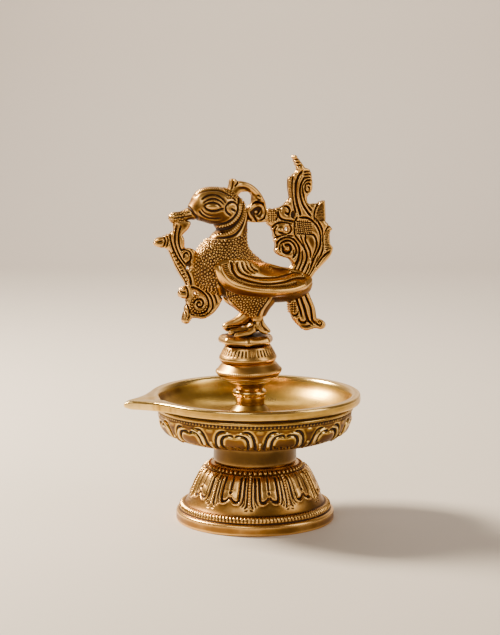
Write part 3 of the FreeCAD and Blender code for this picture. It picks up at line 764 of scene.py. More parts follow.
def make_tail():
    """Flame-shaped tail: scrolls at its root, a teardrop in its middle and a plume of long leaves on top."""
    tail = plate(
        "Tail_fan",
        [
            [(6.6, 170.1), (10, 171), (14, 172.3), (17, 174), (18.4, 175.3), (18.2, 178), (17.6, 182),
             (17.6, 186), (18.2, 188)],
            [(20, 188.6), (22.3, 190), (23.3, 191.8), (22.3, 193.5), (21.2, 196), (20.6, 198.6),
             (21.6, 199.7), (22.8, 198.8), (25, 195.8), (26.3, 194), (27, 192.7), (29, 192.2), (30.6, 191.2),
             (31.2, 189), (31.5, 186), (31.6, 183), (31.2, 180.3), (30, 178.6), (28.6, 177.2), (28.5, 175.3),
             (29.3, 173.4), (30.6, 172.8), (33, 173), (36, 173.8), (38.9, 175.2)],
            [(39.2, 171), (39.4, 166), (39.4, 162.9), (40.8, 161.8), (43.4, 158.9)],
            [(42.4, 157.2), (42, 154), (42.3, 151.2), (43.8, 148.4)],
            [(42.8, 145.4), (40.5, 142.3), (36.5, 138.5), (33, 135), (31.2, 132.5), (28, 130), (22, 131),
             (18.6, 134)],
            [(19.4, 137.8), (20.6, 140.2), (19.6, 142.4), (18, 143.6), (15, 144.4), (12, 145.9),
             (10.3, 148.2), (10.4, 150), (10.2, 152.5), (9.4, 155.4), (8.8, 158.5), (7.4, 161.6), (6, 163),
             (5.4, 165.6), (5.6, 168.5)],
        ],
        half_thickness("tail_fan"),
        [(16.7, 159.7, 1.5)],
    )
    r = face_relief(tail)
    r.broad = 1.1

    # Long leaves of the plume, side by side, and the ribs on its tip.
    r.groove(0.8, 0.75, (20.9, 188), (20.5, 184), (20.5, 180), (20.9, 176), (21.5, 172), (22.5, 168))
    for k in range(13):
        z = 176.2 + 0.9 * k
        r.groove(0.38, 0.4, (18.0, z - 0.3), (20.2, z + 0.4), taper=0.4)
    r.groove(0.9, 0.9, (26, 190.5), (24, 188), (22.7, 184.5), (22.4, 180), (22.8, 175.5), (23.8, 171.5),
             (25.2, 166.8))
    r.groove(0.8, 0.8, (27.4, 187.2), (25.6, 184), (24.9, 180.5), (25.3, 176.5), (26.6, 172.5), (28.8, 169),
             (31, 166.3))
    r.groove(0.75, 0.75, (31.2, 185.9), (28.6, 185.4), (26.9, 183), (26.4, 180.5), (26.8, 178), (28, 174.7),
             (29.5, 171.9), (31.4, 169.2))
    r.groove(0.65, 0.65, (31, 183), (29.5, 184.1), (28, 183), (27.8, 180.6), (28.9, 179.1), (30.2, 179.6),
             (30.4, 181.3), (29.5, 182.1))
    for z in (186.8, 188.5, 190.2):
        r.groove(0.5, 0.5, (27.2, z), (29.2, z + 0.4), (31.2, z + 0.1), taper=0.6)
    for points in (
        [(22.4, 195), (24.4, 195.7)],
        [(22.0, 196.8), (23.6, 197.3)],
        [(22.9, 193.2), (25.2, 194)],
    ):
        r.groove(0.45, 0.45, *points, taper=0.4)
    for stroke in rungs([(21.6, 186), (21.2, 179), (22, 172)], [(22.2, 187), (21.9, 179), (22.9, 172)], 20):
        r.groove(0.3, 0.25, *stroke, taper=0.3)

    # Shoulder scroll, and the pebbled bud between it and the crest.
    r.groove(0.8, 0.8, (13.5, 169.5), (13.8, 171.2), (15.5, 172.2), (17.8, 171.5), (19, 169.5),
             (18.2, 167.5), (16.8, 168.2))
    r.groove(0.8, 0.8, (12.6, 172), (12.4, 168), (13.6, 165.5), (16, 164.2), (19, 163.8), (21.4, 163.3))
    r.mound((20.9, 167.2), (1.5, 2.4), -1.3)
    grid = itertools.product(np.arange(-2.9, 3.1, 1.15), repeat=2)
    buds = [(8.5 + a, 167 + b) for a, b in grid if math.hypot(a, b) < 3.1]
    r.dots(buds, 0.56, 0.45, 0.3)
    r.groove(0.5, 0.5, (10.7, 170), (12, 167), (11.2, 164.3))

    # Middle scroll around the pierced hole.
    r.groove(0.75, 0.8, (8.8, 160), (10.5, 162), (13.5, 163.2), (17, 163), (20.2, 162))
    r.groove(0.75, 0.8, (19, 162), (19.9, 159.5), (18.8, 157.3), (16, 156.7), (13, 157.8))
    r.groove(0.65, 0.7, (11.5, 161.3), (10.3, 159), (10.8, 156.4), (12.6, 154.9))
    r.mound((13.7, 159.0), (1.7, 1.5), 0.7)
    r.groove(0.6, 0.7, (9.4, 153.8), (12, 155.3), (15.5, 156), (18.5, 155.8), (21.3, 155.2))

    # Big spiral at the root.
    r.groove(0.85, 0.95, (11.3, 149), (12, 152), (14.5, 154.4), (18, 155), (21.5, 153.5), (24, 150.3),
             (24.7, 146.5), (23.7, 142.5), (22.2, 139.5))
    r.groove(0.75, 0.85, (13.3, 148.2), (14.0, 151.6), (17.3, 153.3), (20.6, 152), (22.5, 149), (22.6, 146),
             (21, 143.8))
    r.groove(0.75, 0.85, (14.6, 151), (14.9, 149), (15.3, 147.2), (17, 146.3), (19.1, 147), (19.8, 149),
             (18.4, 150.9), (16.3, 151.0))
    r.mound((17.3, 148.9), (1.5, 1.5), 0.8)
    r.mound((21.4, 146.6), (0.9, 1.9), -0.8)

    # Teardrop with its cross-hatched head and two leaves inside.
    r.groove(0.8, 0.9, (24.8, 165.5), (29, 165.1), (32.5, 163), (35.4, 159.5), (36.9, 155.5), (36.8, 151),
             (35.5, 147), (33, 142.5), (31.3, 138.5))
    r.groove(0.8, 0.9, (23.0, 165.5), (21.9, 162), (22.0, 157), (23.4, 154), (25.8, 151.3), (28, 148),
             (29, 144), (28, 140), (26.3, 137.2))
    for k in range(7):
        r.groove(0.4, 0.42, (23.4 + 1.2 * k, 156.2), (23.0 + 1.2 * k - 1.0, 163.8), taper=0.3)
        r.groove(0.4, 0.42, (23.2, 157.0 + 1.05 * k), (31.6, 156.0 + 1.05 * k), taper=0.3)
    r.groove(0.65, 0.75, (28.3, 156.5), (28.1, 153), (29.4, 150), (30.8, 147), (31.3, 143.5))
    r.groove(0.65, 0.75, (30.8, 156.5), (33.2, 155.3), (34.6, 152), (34.3, 148.5), (33, 145), (31.8, 142))
    r.groove(0.5, 0.55, (25.3, 155.6), (26.4, 152.4), (27.8, 149.5))

    # Three leaves along the back edge, each with a hatched flank.
    r.groove(0.7, 0.8, (36.2, 173.4), (33.9, 170), (33.2, 166.5), (33.7, 163.3))
    inner, outer = [(34.4, 163.6), (34.3, 167), (36.2, 171.6)], [(39.0, 163.8), (38.9, 168), (38.7, 173.6)]
    for stroke in rungs(inner, outer, 12):
        r.groove(0.42, 0.42, *stroke, taper=0.5)
    r.groove(0.75, 0.85, (33.8, 165.3), (36, 162), (37.7, 158.5), (38.3, 155), (38.2, 151.6))
    r.groove(0.6, 0.7, (41.6, 160.5), (39.9, 158), (38.9, 155))
    inner, outer = [(39.4, 150.4), (39.2, 154), (40.2, 157.4)], [(42.2, 150.2), (42.0, 154), (42.9, 158.4)]
    for stroke in rungs(inner, outer, 9):
        r.groove(0.42, 0.42, *stroke, taper=0.5)
    r.groove(0.7, 0.8, (42.6, 146.9), (39.2, 144.5), (36.6, 141.5), (34.5, 138.3))
    r.groove(0.65, 0.75, (38.5, 151.8), (38.3, 148), (37, 144.5), (35, 140.5))
    for stroke in rungs([(39.0, 150.4), (40.0, 147.6)], [(42.4, 150.3), (42.9, 148.0)], 4):
        r.groove(0.4, 0.35, *stroke, taper=0.4)

    # Ribs that gather at the root.
    for rib in (
        [(24.6, 146), (24.2, 142), (22.8, 138.8), (20.4, 134)],
        [(26.3, 147), (26.3, 143), (25.3, 139.5), (23.4, 135.5), (22, 133)],
        [(28.3, 141.5), (27.5, 138.5), (25.8, 135.4), (24, 132)],
        [(30.4, 140), (29.2, 136.8), (27.6, 134), (26, 131.6)],
        [(32.5, 141), (31, 136.9), (29.5, 134.3), (28, 131.6)],
        [(35.6, 143.9), (34.4, 140.6), (32.6, 137), (30.6, 133.6)],
    ):
        r.groove(0.6, 0.65, *rib)
    r.pillow(0.95, 1.7)
    return carve(tail, r, 1.25)


def make_crest():
    """Arched crest from the crown to the tail, with a curl at its foot."""
    crest = plate(
        "Crest_arch",
        [
            [(-15.9, 183), (-15.3, 185.5), (-15.1, 187), (-14, 187.9), (-12.9, 187.9), (-11.6, 187.1),
             (-10.3, 186.2), (-8.5, 186), (-5, 185.1), (-1.5, 183.1), (1.5, 180.1), (3.6, 177), (4.8, 174.2),
             (5.6, 171.2), (6.2, 167.5), (5.8, 163.9)],
            [(3, 163.6), (0, 163.5), (-3, 163.8), (-7.4, 164.5)],
            [(-8.4, 168), (-7.6, 171.2), (-5.2, 171.7), (-3.9, 173.3), (-2.9, 175.2), (-2.7, 177.2),
             (-3.2, 179), (-4.6, 180.1), (-7, 180.4), (-9.5, 180), (-11, 178.2), (-14.6, 177.6),
             (-16.8, 180.4)],
        ],
        half_thickness("crest_arch"),
    )
    r = face_relief(crest)
    r.broad = 1.22
    r.groove(0.8, 0.9, (-12.8, 188), (-13.2, 186), (-13.6, 184), (-13.9, 182), taper=0.5)
    r.groove(0.6, 0.6, (-10.2, 186.2), (-10.9, 184.6), (-12.2, 183.4), taper=0.5)
    r.ridge(1.9, 1.0, (-10, 184.4), (-6, 183.7), (-2.2, 181.6), (0.6, 178.8), (2.6, 175.6), (4, 173),
            taper=2.5)
    r.groove(0.75, 0.9, (-2.2, 173.4), (-0.4, 174.5), (2, 174.4), (4.2, 172.9), (5.2, 170.4), (5.2, 167.6),
             (3.9, 165.4), (1.6, 164.5))
    r.ridge(1.3, 0.8, (-1.6, 172.2), (1, 173), (3.4, 171.4), (4, 168.6), (2.8, 166.2), (0.2, 165.4))
    r.mound((-0.7, 169.5), (2.9, 2.1), -0.55, 20)
    r.mound((-0.2, 169.2), (1.0, 0.9), 0.6)
    r.groove(0.5, 0.55, (2.0, 171), (1.4, 169), (0.2, 167.9))
    r.groove(0.6, 0.7, (-1.4, 167.2), (-0.6, 165.4), (0.4, 163.8))
    r.ridge(1.1, 0.7, (-4.9, 170.4), (-3.9, 167.6), (-2.2, 165.6))
    r.groove(0.55, 0.6, (-5.6, 167.5), (-4.6, 165.6), (-2.9, 164.6))
    for points in ([(0.4, 178.3), (1.7, 177.8)], [(1.0, 175.9), (2.2, 175.4)]):
        r.groove(0.6, 0.6, *points, taper=0.4)
    r.pillow(0.6, 1.5)
    return carve(crest, r, 1.2)


def make_plume():
    """Short hanging plume under the tail's root."""
    plume = plate(
        "Tail_plume",
        [
            [(18.9, 122), (18.6, 118.2), (19.1, 113.8), (20.9, 110.3), (23.8, 106.8), (26.5, 104.2),
             (28.7, 103.5), (31.8, 104.2), (34.0, 104.5), (36.3, 103.8)],
            [(38.8, 104.3), (39.6, 106.5), (38.0, 108.7), (35.6, 109.9), (34.4, 109.2)],
            [(34.0, 111.8), (33.3, 115.7), (31.9, 119.1), (30.4, 122.6), (28.6, 127)],
            [(20.4, 126)],
        ],
        half_thickness("tail_plume"),
    )
    r = face_relief(plume)
    r.broad = 1.22
    r.groove(0.85, 1.0, (24.6, 125), (26.1, 120), (27.8, 115.4), (28.8, 111.6), (30.2, 108.4),
             (32.6, 106.6))
    r.groove(0.75, 0.9, (27.2, 125.6), (29.2, 120.6), (31.2, 116), (31.9, 112), (32.4, 108.9),
             (34.2, 106.9))
    r.groove(0.75, 0.9, (22.6, 123), (23.9, 118.4), (25.3, 114.4), (26.0, 111.4))
    r.groove(0.75, 0.85, (24.4, 109.4), (25.6, 107.9), (27.8, 107.7), (29, 109))
    r.groove(0.5, 0.5, (26.4, 105.9), (28.6, 105.5), (31.4, 106))
    r.groove(0.55, 0.6, (19.9, 112.6), (21.4, 111.8), (23.4, 112.2), (24.4, 113.8))
    r.groove(0.5, 0.5, (19.6, 120.8), (21.2, 121.4), (22.9, 120.6))
    grains = [(21.2 + a, 116.5 + b) for a in (-1.3, 0, 1.3) for b in np.arange(-2.9, 3.0, 1.3)]
    r.dots(grains, 0.56, 0.45, 0.3)
    r.groove(0.55, 0.7, (34.6, 107.6), (35.4, 106.2), (37.1, 105.8), (38, 107.2), (36.9, 108.4),
             (35.8, 107.6))
    r.pillow(0.95, 1.6)
    return carve(plume, r, 1.25)


def make_garland():
    """Leafy spray that hangs from the beak: a bud, a long scrolled stem and a rosette at the chest."""
    garland = plate(
        "Beak_garland",
        [
            [(-46.6, 163.4), (-46.7, 160.7), (-48.5, 159.5), (-51.5, 158.2), (-55, 157), (-57.2, 155.6),
             (-57.5, 154.3), (-56.7, 153), (-54.5, 152), (-52, 151.6), (-50.2, 151.2)],
            [(-49.6, 149.6), (-48.7, 147.3), (-47.2, 144), (-45.7, 140.5), (-43.7, 137), (-41.7, 133.7),
             (-40.2, 131.3)],
            [(-42, 130), (-43.5, 128.8), (-44, 127), (-43.6, 125), (-41.7, 124.1), (-39.6, 123.4)],
            [(-40.3, 119.4), (-41.5, 115), (-42.0, 112), (-41.2, 110.5), (-39.0, 110.4), (-37.7, 112),
             (-36.8, 113.3)],
            [(-34, 113.1), (-31.4, 112.5), (-28.4, 113.2), (-25, 115.3), (-22.4, 118), (-20.6, 121),
             (-19.6, 123)],
            [(-23, 128), (-28.5, 132.6), (-32.4, 138), (-34.2, 142.6), (-34.5, 146.5), (-34.3, 148.7),
             (-35.4, 150.1), (-37.6, 150.9), (-39.6, 151.1), (-40.9, 151.9), (-40.8, 154), (-41.1, 156.4),
             (-42.0, 158.2), (-40.2, 160.0), (-38.2, 162.2), (-37.8, 165.4), (-45.6, 166.8)],
        ],
        half_thickness("beak_garland"),
        [(-38.8, 140.3, 1.1), (-35.0, 126.7, 1.15)],
    )
    r = face_relief(garland)

    # Stem: side-by-side strands that run from the beak down to the rosette.
    r.groove(0.75, 0.8, (-46.2, 163.5), (-47.4, 160.5), (-48.2, 157.5), (-47.5, 153.5), (-46, 149.5),
             (-43.8, 145.5), (-41, 141.5), (-38.6, 137.7), (-37.1, 134.2), (-36.7, 131.2))
    r.groove(0.7, 0.75, (-44.6, 163.5), (-45.2, 160.5), (-45.7, 156.5), (-45.2, 152.5), (-43.6, 148.2),
             (-41.6, 144.6), (-39.3, 141.9))
    r.groove(0.65, 0.7, (-42.5, 162.5), (-43.4, 158.6), (-43.5, 155), (-43, 151.8), (-41.9, 149.6))
    r.groove(0.55, 0.6, (-48.6, 149.7), (-46.9, 145.5), (-44.9, 141.5), (-42.8, 137.8), (-40.5, 134.1),
             (-39, 131))
    for k in range(9):
        t = k / 8
        x, z = -47.6 + 7.4 * t + 0.6 * math.sin(3 * t), 148.4 - 15.6 * t
        r.groove(0.35, 0.3, (x, z), (x + 1.3, z + 0.5), taper=0.4)

    # Bud at the far end.
    r.groove(0.6, 0.6, (-52.2, 157.8), (-51, 155.5), (-51.7, 152.4))
    r.groove(0.55, 0.55, (-50.2, 158.4), (-49.3, 155.5), (-50.2, 152.2))
    r.groove(0.4, 0.35, (-56.6, 154.8), (-54.6, 154.9), (-52.6, 155.4))

    # Curl against the chest.
    r.groove(0.65, 0.75, (-42, 150), (-40.5, 150.2), (-38.2, 149.6), (-36.8, 147.8), (-36.9, 145),
             (-37.9, 143.2))
    r.groove(0.6, 0.65, (-40.8, 145.8), (-40.4, 147.8), (-39, 148.6), (-38.2, 147.2))
    r.mound((-38.2, 142.2), (1.7, 2.2), -0.9, -25)

    # Second bud and the pointed leaf below it.
    r.groove(0.6, 0.65, (-39.9, 130.7), (-38.7, 128), (-38.5, 125.5), (-39.4, 123.4))
    r.groove(0.45, 0.45, (-43.0, 128.2), (-41.4, 127.3), (-40, 127.2))
    r.groove(0.6, 0.65, (-39.3, 121.2), (-38, 118), (-37.9, 114.7), (-38.7, 112.1))
    r.groove(0.4, 0.4, (-40.6, 117.4), (-39.4, 115.8), (-39.2, 113.6))

    # Rosette.
    r.groove(0.7, 0.75, (-36.5, 130), (-33, 128.6), (-29.8, 126.4), (-27.6, 123.3), (-27, 120),
             (-28.2, 117), (-30.5, 115.6), (-33.5, 115.3), (-36.2, 116.2))
    r.groove(0.65, 0.7, (-33.5, 131.4), (-29.5, 128.4), (-26.1, 124.8), (-24.7, 121), (-24.9, 117.8),
             (-26.8, 115.3))
    r.groove(0.5, 0.5, (-30.4, 131.6), (-26.6, 128.4), (-23.6, 124.6), (-22.4, 121))
    r.groove(0.6, 0.85, *spiral((-32.2, 120.6), 0.6, 3.0, 20, 1.4))
    grains = [(-32.2 + 4.3 * math.cos(a), 120.4 + 4.3 * math.sin(a)) for a in np.linspace(1.9, 5.9, 12)]
    grains += [(-32.0 + 5.7 * math.cos(a), 120.2 + 5.5 * math.sin(a)) for a in np.linspace(3.2, 5.4, 9)]
    r.dots(grains, 0.62, 0.55, 0.4)
    r.groove(0.45, 0.45, (-37.4, 116.2), (-36.4, 114.9), (-33.5, 114.4), (-29.5, 114.1), (-26, 115.7))
    r.pillow(0.9, 1.5)
    return carve(garland, r, 1.25)


# ---- bird ------------------------------------------------------------------------------------------
# Oval stations from the beak's tip, over the head, down the neck and along the back:
# (x, z) of the upper edge, (x, z) of the lower edge, and half the width.
STATIONS = [
    ((-48.6, 168.0), (-48.4, 166.4), 1.1),
    ((-47.7, 169.4), (-47.1, 164.5), 2.5),
    ((-45.5, 170.3), (-44.8, 163.8), 3.1),
    ((-41.8, 170.6), (-41.0, 164.4), 3.1),
    ((-38.6, 172.1), (-37.0, 165.8), 3.8),
    ((-36.3, 175.4), (-33.6, 165.5), 5.8),
    ((-33.4, 180.7), (-30.0, 164.7), 7.8),
    ((-28.0, 183.1), (-26.0, 163.3), 9.0),
    ((-21.5, 183.3), (-23.2, 162.2), 9.3),
    ((-14.5, 181.7), (-22.2, 161.0), 9.0),
    ((-8.6, 177.2), (-21.8, 160.2), 8.3),
    ((-5.4, 171.5), (-22.0, 159.4), 7.6),
    ((-4.5, 165.0), (-23.4, 158.0), 7.6),
    ((-4.8, 158.5), (-26.6, 155.4), 8.8),
    ((-4.9, 153.6), (-31.2, 151.2), 10.6),
    ((-4.0, 150.2), (-34.9, 145.0), 12.2),
    ((-1.8, 147.2), (-36.2, 138.0), 13.0),
    ((1.2, 144.6), (-33.0, 130.2), 13.2),
    ((5.0, 141.6), (-25.0, 125.8), 13.2),
    ((9.0, 139.4), (-12.0, 122.2), 12.8),
    ((13.5, 137.3), (2.0, 120.0), 11.8),
    ((19.0, 135.8), (13.5, 119.2), 10.0),
    ((25.0, 134.9), (23.6, 120.4), 7.6),
    ((30.0, 133.2), (30.4, 123.8), 5.0),
    ((32.6, 130.6), (32.6, 127.4), 2.2),
]
# Level ovals of a drumstick: centre x, z, half length, half width, and distance from the bird's middle.
THIGH = [(-4.0, 127.0, 13.0, 6.5, 5.4), (-3.2, 121.0, 13.2, 5.8, 5.2), (-2.0, 116.5, 8.8, 4.6, 4.8),
         (-0.6, 112.5, 5.2, 3.6, 4.2)]


def capped_tube(rings):
    """Vertices and faces of a closed skin through rings of equal count, with a point at each end."""
    rows, columns = len(rings), len(rings[0])
    verts = np.vstack([np.vstack(rings), rings[0].mean(0), rings[-1].mean(0)])
    faces = grid_faces(rows, columns, False, True).tolist()
    for j in range(columns):
        k = (j + 1) % columns
        faces.append((rows * columns, k, j))
        faces.append((rows * columns + 1, (rows - 1) * columns + j, (rows - 1) * columns + k))
    return verts, faces


def joined(shells):
    """Several closed skins as one list of vertices and faces."""
    verts, faces, start = [], [], 0
    for shell_verts, shell_faces in shells:
        verts.append(shell_verts)
        faces += [tuple(i + start for i in face) for face in shell_faces]
        start += len(shell_verts)
    return np.vstack(verts), faces


def torso_rings():
    table = np.array([(*top, *bottom, half) for top, bottom, half in STATIONS])
    table = spline(table, 1.0)
    around = np.linspace(0, FULL_TURN, 120, endpoint=False)
    rings = []
    for x1, z1, x2, z2, half in table:
        middle, arm = np.array([(x1 + x2) / 2, 0, (z1 + z2) / 2]), np.array([(x1 - x2) / 2, 0, (z1 - z2) / 2])
        rings.append(middle + np.outer(np.cos(around), arm) + np.outer(np.sin(around), (0, half, 0)))
    return rings


def thigh_rings(side):
    table = spline(THIGH, 0.8)
    around = np.linspace(0, FULL_TURN, 80, endpoint=False)
    return [np.stack([x + a * np.cos(around), side * y + b * np.sin(around), np.full(80, z)], 1)
            for x, z, a, b, y in table]


def scatter(co, chosen, spacing, seed):
    """Spots of an even random packing on a surface's vertices, none closer than the spacing."""
    order = list(chosen)
    random.Random(seed).shuffle(order)
    cells, picked = {}, []
    for i in order:
        p = co[i]
        key = tuple(math.floor(v / spacing) for v in p)
        around = itertools.product(*((k - 1, k, k + 1) for k in key))
        crowd = (q for cell in around for q in cells.get(cell, ()))
        if all(math.dist(p, q) >= spacing for q in crowd):
            cells.setdefault(key, []).append(p)
            picked.append(p)
    return picked


def pebbles(co, chosen, spacing, radius, height, ring_depth, seed):
    """Heights of round grains, each in its own punched ring, packed over part of a surface."""
    spots = np.array(scatter(co, chosen, spacing * 0.86, seed))
    for _ in range(4):
        tree = nearest_tree(spots)
        owner = np.array([tree.find(co[i])[1] for i in chosen])
        owned = np.bincount(owner, minlength=len(spots)).clip(1)
        spots = np.stack([np.bincount(owner, co[chosen, k], len(spots)) / owned for k in range(3)], 1)
    tree = nearest_tree(spots)
    distance = distances(tree, co[chosen])
    dome = height * np.sqrt(np.clip(1 - (distance / radius) ** 2, 0, None))
    ring = ring_depth * bell(distance - radius - 0.12, 0.42)
    rise = np.zeros(len(co))
    rise[chosen] = dome - ring
    return rise


# Where the pebbles end: x and height of the neck's lowest cord, height and x of the drumstick's front edge.
NECK_FOOT = ((-30, -26.6, -18, -13, -9, -5.6, -3.0), (156.2, 156.2, 156.4, 157.2, 158.6, 161.0, 162.0))
THIGH_LEFT = ((113.5, 117.5, 122.5, 126, 131), (-8, -14, -19, -21.5, -24))


def make_body():
    """Head, neck, body and drumsticks, with the face, neck bands, pebbled chest and stippled thighs."""
    shells = [capped_tube(torso_rings()), capped_tube(thigh_rings(1)), capped_tube(thigh_rings(-1))]
    body = new_mesh_object("Bird_body", *joined(shells))
    remeshed(body, 0.36)
    co = relax(vertices(body), edges(body), 5, 0.6)
    set_vertices(body, co)
    n = normals(body)
    side = smooth_step(np.abs(n[:, 1]), 0.1, 0.55)
    face = Relief(co[:, [0, 2]])
    bands = Relief(co[:, [0, 2]])

    # Face: crown, brows, eye, smile, ear curl and the seam round the beak's root.
    bands.groove(0.75, 0.7, (-34.8, 178.6), (-32.2, 180.7), (-29.2, 181.6), (-26.0, 181.9), (-22.8, 181.7),
                 (-19.9, 180.9), (-17.4, 179.6), (-14.9, 178.0), (-12.4, 175.8))
    for k in range(17):
        c, s = math.cos(2.62 - 0.088 * k), math.sin(2.62 - 0.088 * k)
        bands.groove(0.38, 0.45, (-26 + 11.6 * c, 172.6 + 10.0 * s), (-26 + 12.9 * c, 172.6 + 11.6 * s),
                     taper=0.3)
    face.groove(0.85, 0.8, (-31.8, 177.4), (-29, 179.2), (-25.9, 179.8), (-22.9, 179), (-20.4, 176.9),
                (-18.9, 174.8))
    face.groove(0.8, 0.75, (-31.2, 175.4), (-28.6, 177.2), (-25.5, 177.7), (-22.5, 176.4), (-20.5, 174.4))
    face.groove(0.7, 0.8, (-31.2, 173.9), (-29, 175.3), (-26.4, 175.7), (-23.8, 174.8), (-21.7, 172.8))
    face.groove(0.85, 0.85, (-31.2, 173.9), (-29.8, 172.2), (-27.2, 171.0), (-24.3, 171.1), (-22, 172),
                (-20.2, 172.4))
    face.mound((-26.6, 173.3), (3.9, 1.8), 0.8, -3)
    face.groove(0.8, 0.85, (-33.4, 171), (-31.9, 169), (-28.9, 167.2), (-25.1, 166.6), (-22.2, 166.7))
    face.groove(0.5, 0.4, (-32.4, 172.2), (-31, 170.3), (-28.8, 168.9), (-26.2, 168.3))
    face.groove(0.9, 0.95, (-16.4, 168.3), (-18.5, 170), (-19.4, 172.3), (-18.3, 174.4), (-16.4, 175.5),
                (-13.8, 175.2), (-12.2, 173.6), (-11.6, 171.2))
    face.groove(0.8, 0.8, (-16.0, 171.8), (-13.2, 170.3), taper=0.5)
    bands.groove(1.05, 0.6, (-38.6, 174), (-37.2, 171.6), (-35.8, 169.2), (-34.0, 167.4), (-33.4, 164.6),
                 taper=0.5)
    bands.groove(0.5, 0.5, (-47.9, 167.4), (-44.5, 167.3), (-40.6, 167.8), (-36.6, 168.6))
    face.groove(0.45, 0.4, (-38.9, 169.9), (-38.1, 170.3), (-37.6, 169.9), taper=0.4)

    # Bands round the neck, by turns a groove and a beaded cord.
    bands.groove(0.95, 0.9, (-10.4, 178), (-11.2, 175), (-11.9, 171.3), (-13.3, 168.5), (-15.6, 166.1),
                 (-18.6, 164.3), (-22, 163.2), (-26.4, 162.2))
    bands.rope(1.15, 1.0, 1.25, 0.32, (-9.0, 176), (-9.8, 173.6), (-10.2, 171.5), (-11.2, 169),
               (-12.9, 166.6), (-15.5, 164.3), (-18.5, 162.8), (-21.4, 161.9), (-26, 160.8))
    bands.groove(0.7, 0.8, (-7.8, 175), (-8.7, 172), (-9.5, 169.6), (-10.8, 166.8), (-13, 163.9),
                 (-16, 161.8), (-19.3, 160.6), (-23.6, 159.6), (-27, 159))
    bands.rope(1.15, 1.0, 1.25, 0.32, (-6.6, 174.6), (-7.5, 171.6), (-7.9, 169.5), (-8.7, 167.1),
               (-10.2, 164.4), (-12.5, 161.9), (-15.5, 159.8), (-18.5, 158.6), (-22.3, 157.9), (-25, 157.7))
    bands.groove(0.85, 0.9, (-5.6, 171.4), (-6.6, 168), (-7.9, 165), (-9.4, 162.2), (-11.6, 159.8),
                 (-14.6, 157.8), (-18.5, 156.8), (-22.7, 156.4), (-26.4, 156.0))
    bands.ridge(1.5, 0.8, (-30.2, 156.4), (-27.2, 157.4), (-24, 157.6))

    # Edges of the drumstick, like a basket's hem.
    face.ridge(1.1, 0.75, (-24.8, 132.6), (-23.6, 130), (-21.3, 125.6), (-18.7, 122), (-13.8, 117),
               (-8, 112.6))
    face.groove(0.8, 0.6, (-22.4, 132), (-20, 127), (-17, 123), (-12, 118.3), (-6.6, 113.4))
    face.ridge(1.1, 0.7, (7.6, 126.4), (5.0, 122), (1.8, 117.6), (0.4, 112.4))
    face.groove(0.75, 0.6, (5.5, 125.5), (3, 121), (0, 116.8), (-1.5, 112.9))
    for k in range(6):
        face.groove(0.35, 0.22, (7.5 + 2.6 * k, 122.6 + 0.35 * k), (9.4 + 2.6 * k, 124.7 + 0.3 * k),
                    taper=0.8)

    x, z = co[:, 0], co[:, 2]
    thigh_edge = np.interp(z, *THIGH_LEFT)
    below_neck = z < np.interp(x, *NECK_FOOT) - 0.7
    above_thigh = (x < thigh_edge - 1.0) | (z > 131)
    chest = np.flatnonzero(below_neck & above_thigh & (x < 8) & ((z > 128) | (x < thigh_edge - 1.0)))
    basket = np.flatnonzero((z < 127.5) & (z > 112.8) & (x > thigh_edge + 2.4) & (np.abs(n[:, 1]) > 0.3)
                            & (x < np.interp(z, [112.9, 116.8, 121, 125.5], [-1.5, 0, 3, 5.5]) - 0.7))
    at_throat = smooth_step(-n[:, 0], 0.3, 0.75) * (x > -33) * (z < 170)
    rise = side * face.height() + bands.height() * (1 - 0.85 * at_throat)
    beak = np.flatnonzero(x < -39.8)
    rise += pebbles(co, beak, 1.5, 0.5, 0.2, 0.2, 6)
    rise += pebbles(co, chest, 1.85, 0.62, 0.42, 0.42, 3)
    rise += pebbles(co, basket, 1.45, 0.5, 0.34, 0.3, 4)
    crown = np.flatnonzero((x > -18.4) & (x < -9.4) & (z > 177.2) & (np.abs(n[:, 1]) < 0.93))
    rise += pebbles(co, crown, 1.4, 0.5, 0.32, 0.3, 5)
    set_vertices(body, co + n * rise[:, None])
    return body


def flank_map(body):
    """How far the body's flank stands out at any x and z, eased on past the body's outline."""
    step, x0, x1, z0, z1 = 0.5, -30.0, 38.0, 116.0, 150.0
    tree = BVHTree.FromObject(body, bpy.context.evaluated_depsgraph_get())
    xs, zs = np.arange(x0, x1, step), np.arange(z0, z1, step)
    out = np.full((len(xs), len(zs)), np.nan)
    for i, x in enumerate(xs):
        for j, z in enumerate(zs):
            hit = tree.ray_cast(Vector((x, -60.0, z)) * MM, Vector((0, 1, 0)))[0]
            if hit:
                out[i, j] = -hit.y / MM
    known = ~np.isnan(out)
    out[~known] = 0.0
    for _ in range(120):
        padded = np.pad(out, 1, mode="edge")
        around = (padded[:-2, 1:-1] + padded[2:, 1:-1] + padded[1:-1, :-2] + padded[1:-1, 2:]) / 4
        out = np.where(known, 0.8 * out + 0.2 * around, around)

    def sample(x, z):
        u = np.clip((x - x0) / step, 0, len(xs) - 1.001)
        v = np.clip((z - z0) / step, 0, len(zs) - 1.001)
        i, j = u.astype(int), v.astype(int)
        fu, fv = u - i, v - j
        return ((1 - fu) * ((1 - fv) * out[i, j] + fv * out[i, j + 1])
                + fu * ((1 - fv) * out[i + 1, j] + fv * out[i + 1, j + 1]))

    return sample


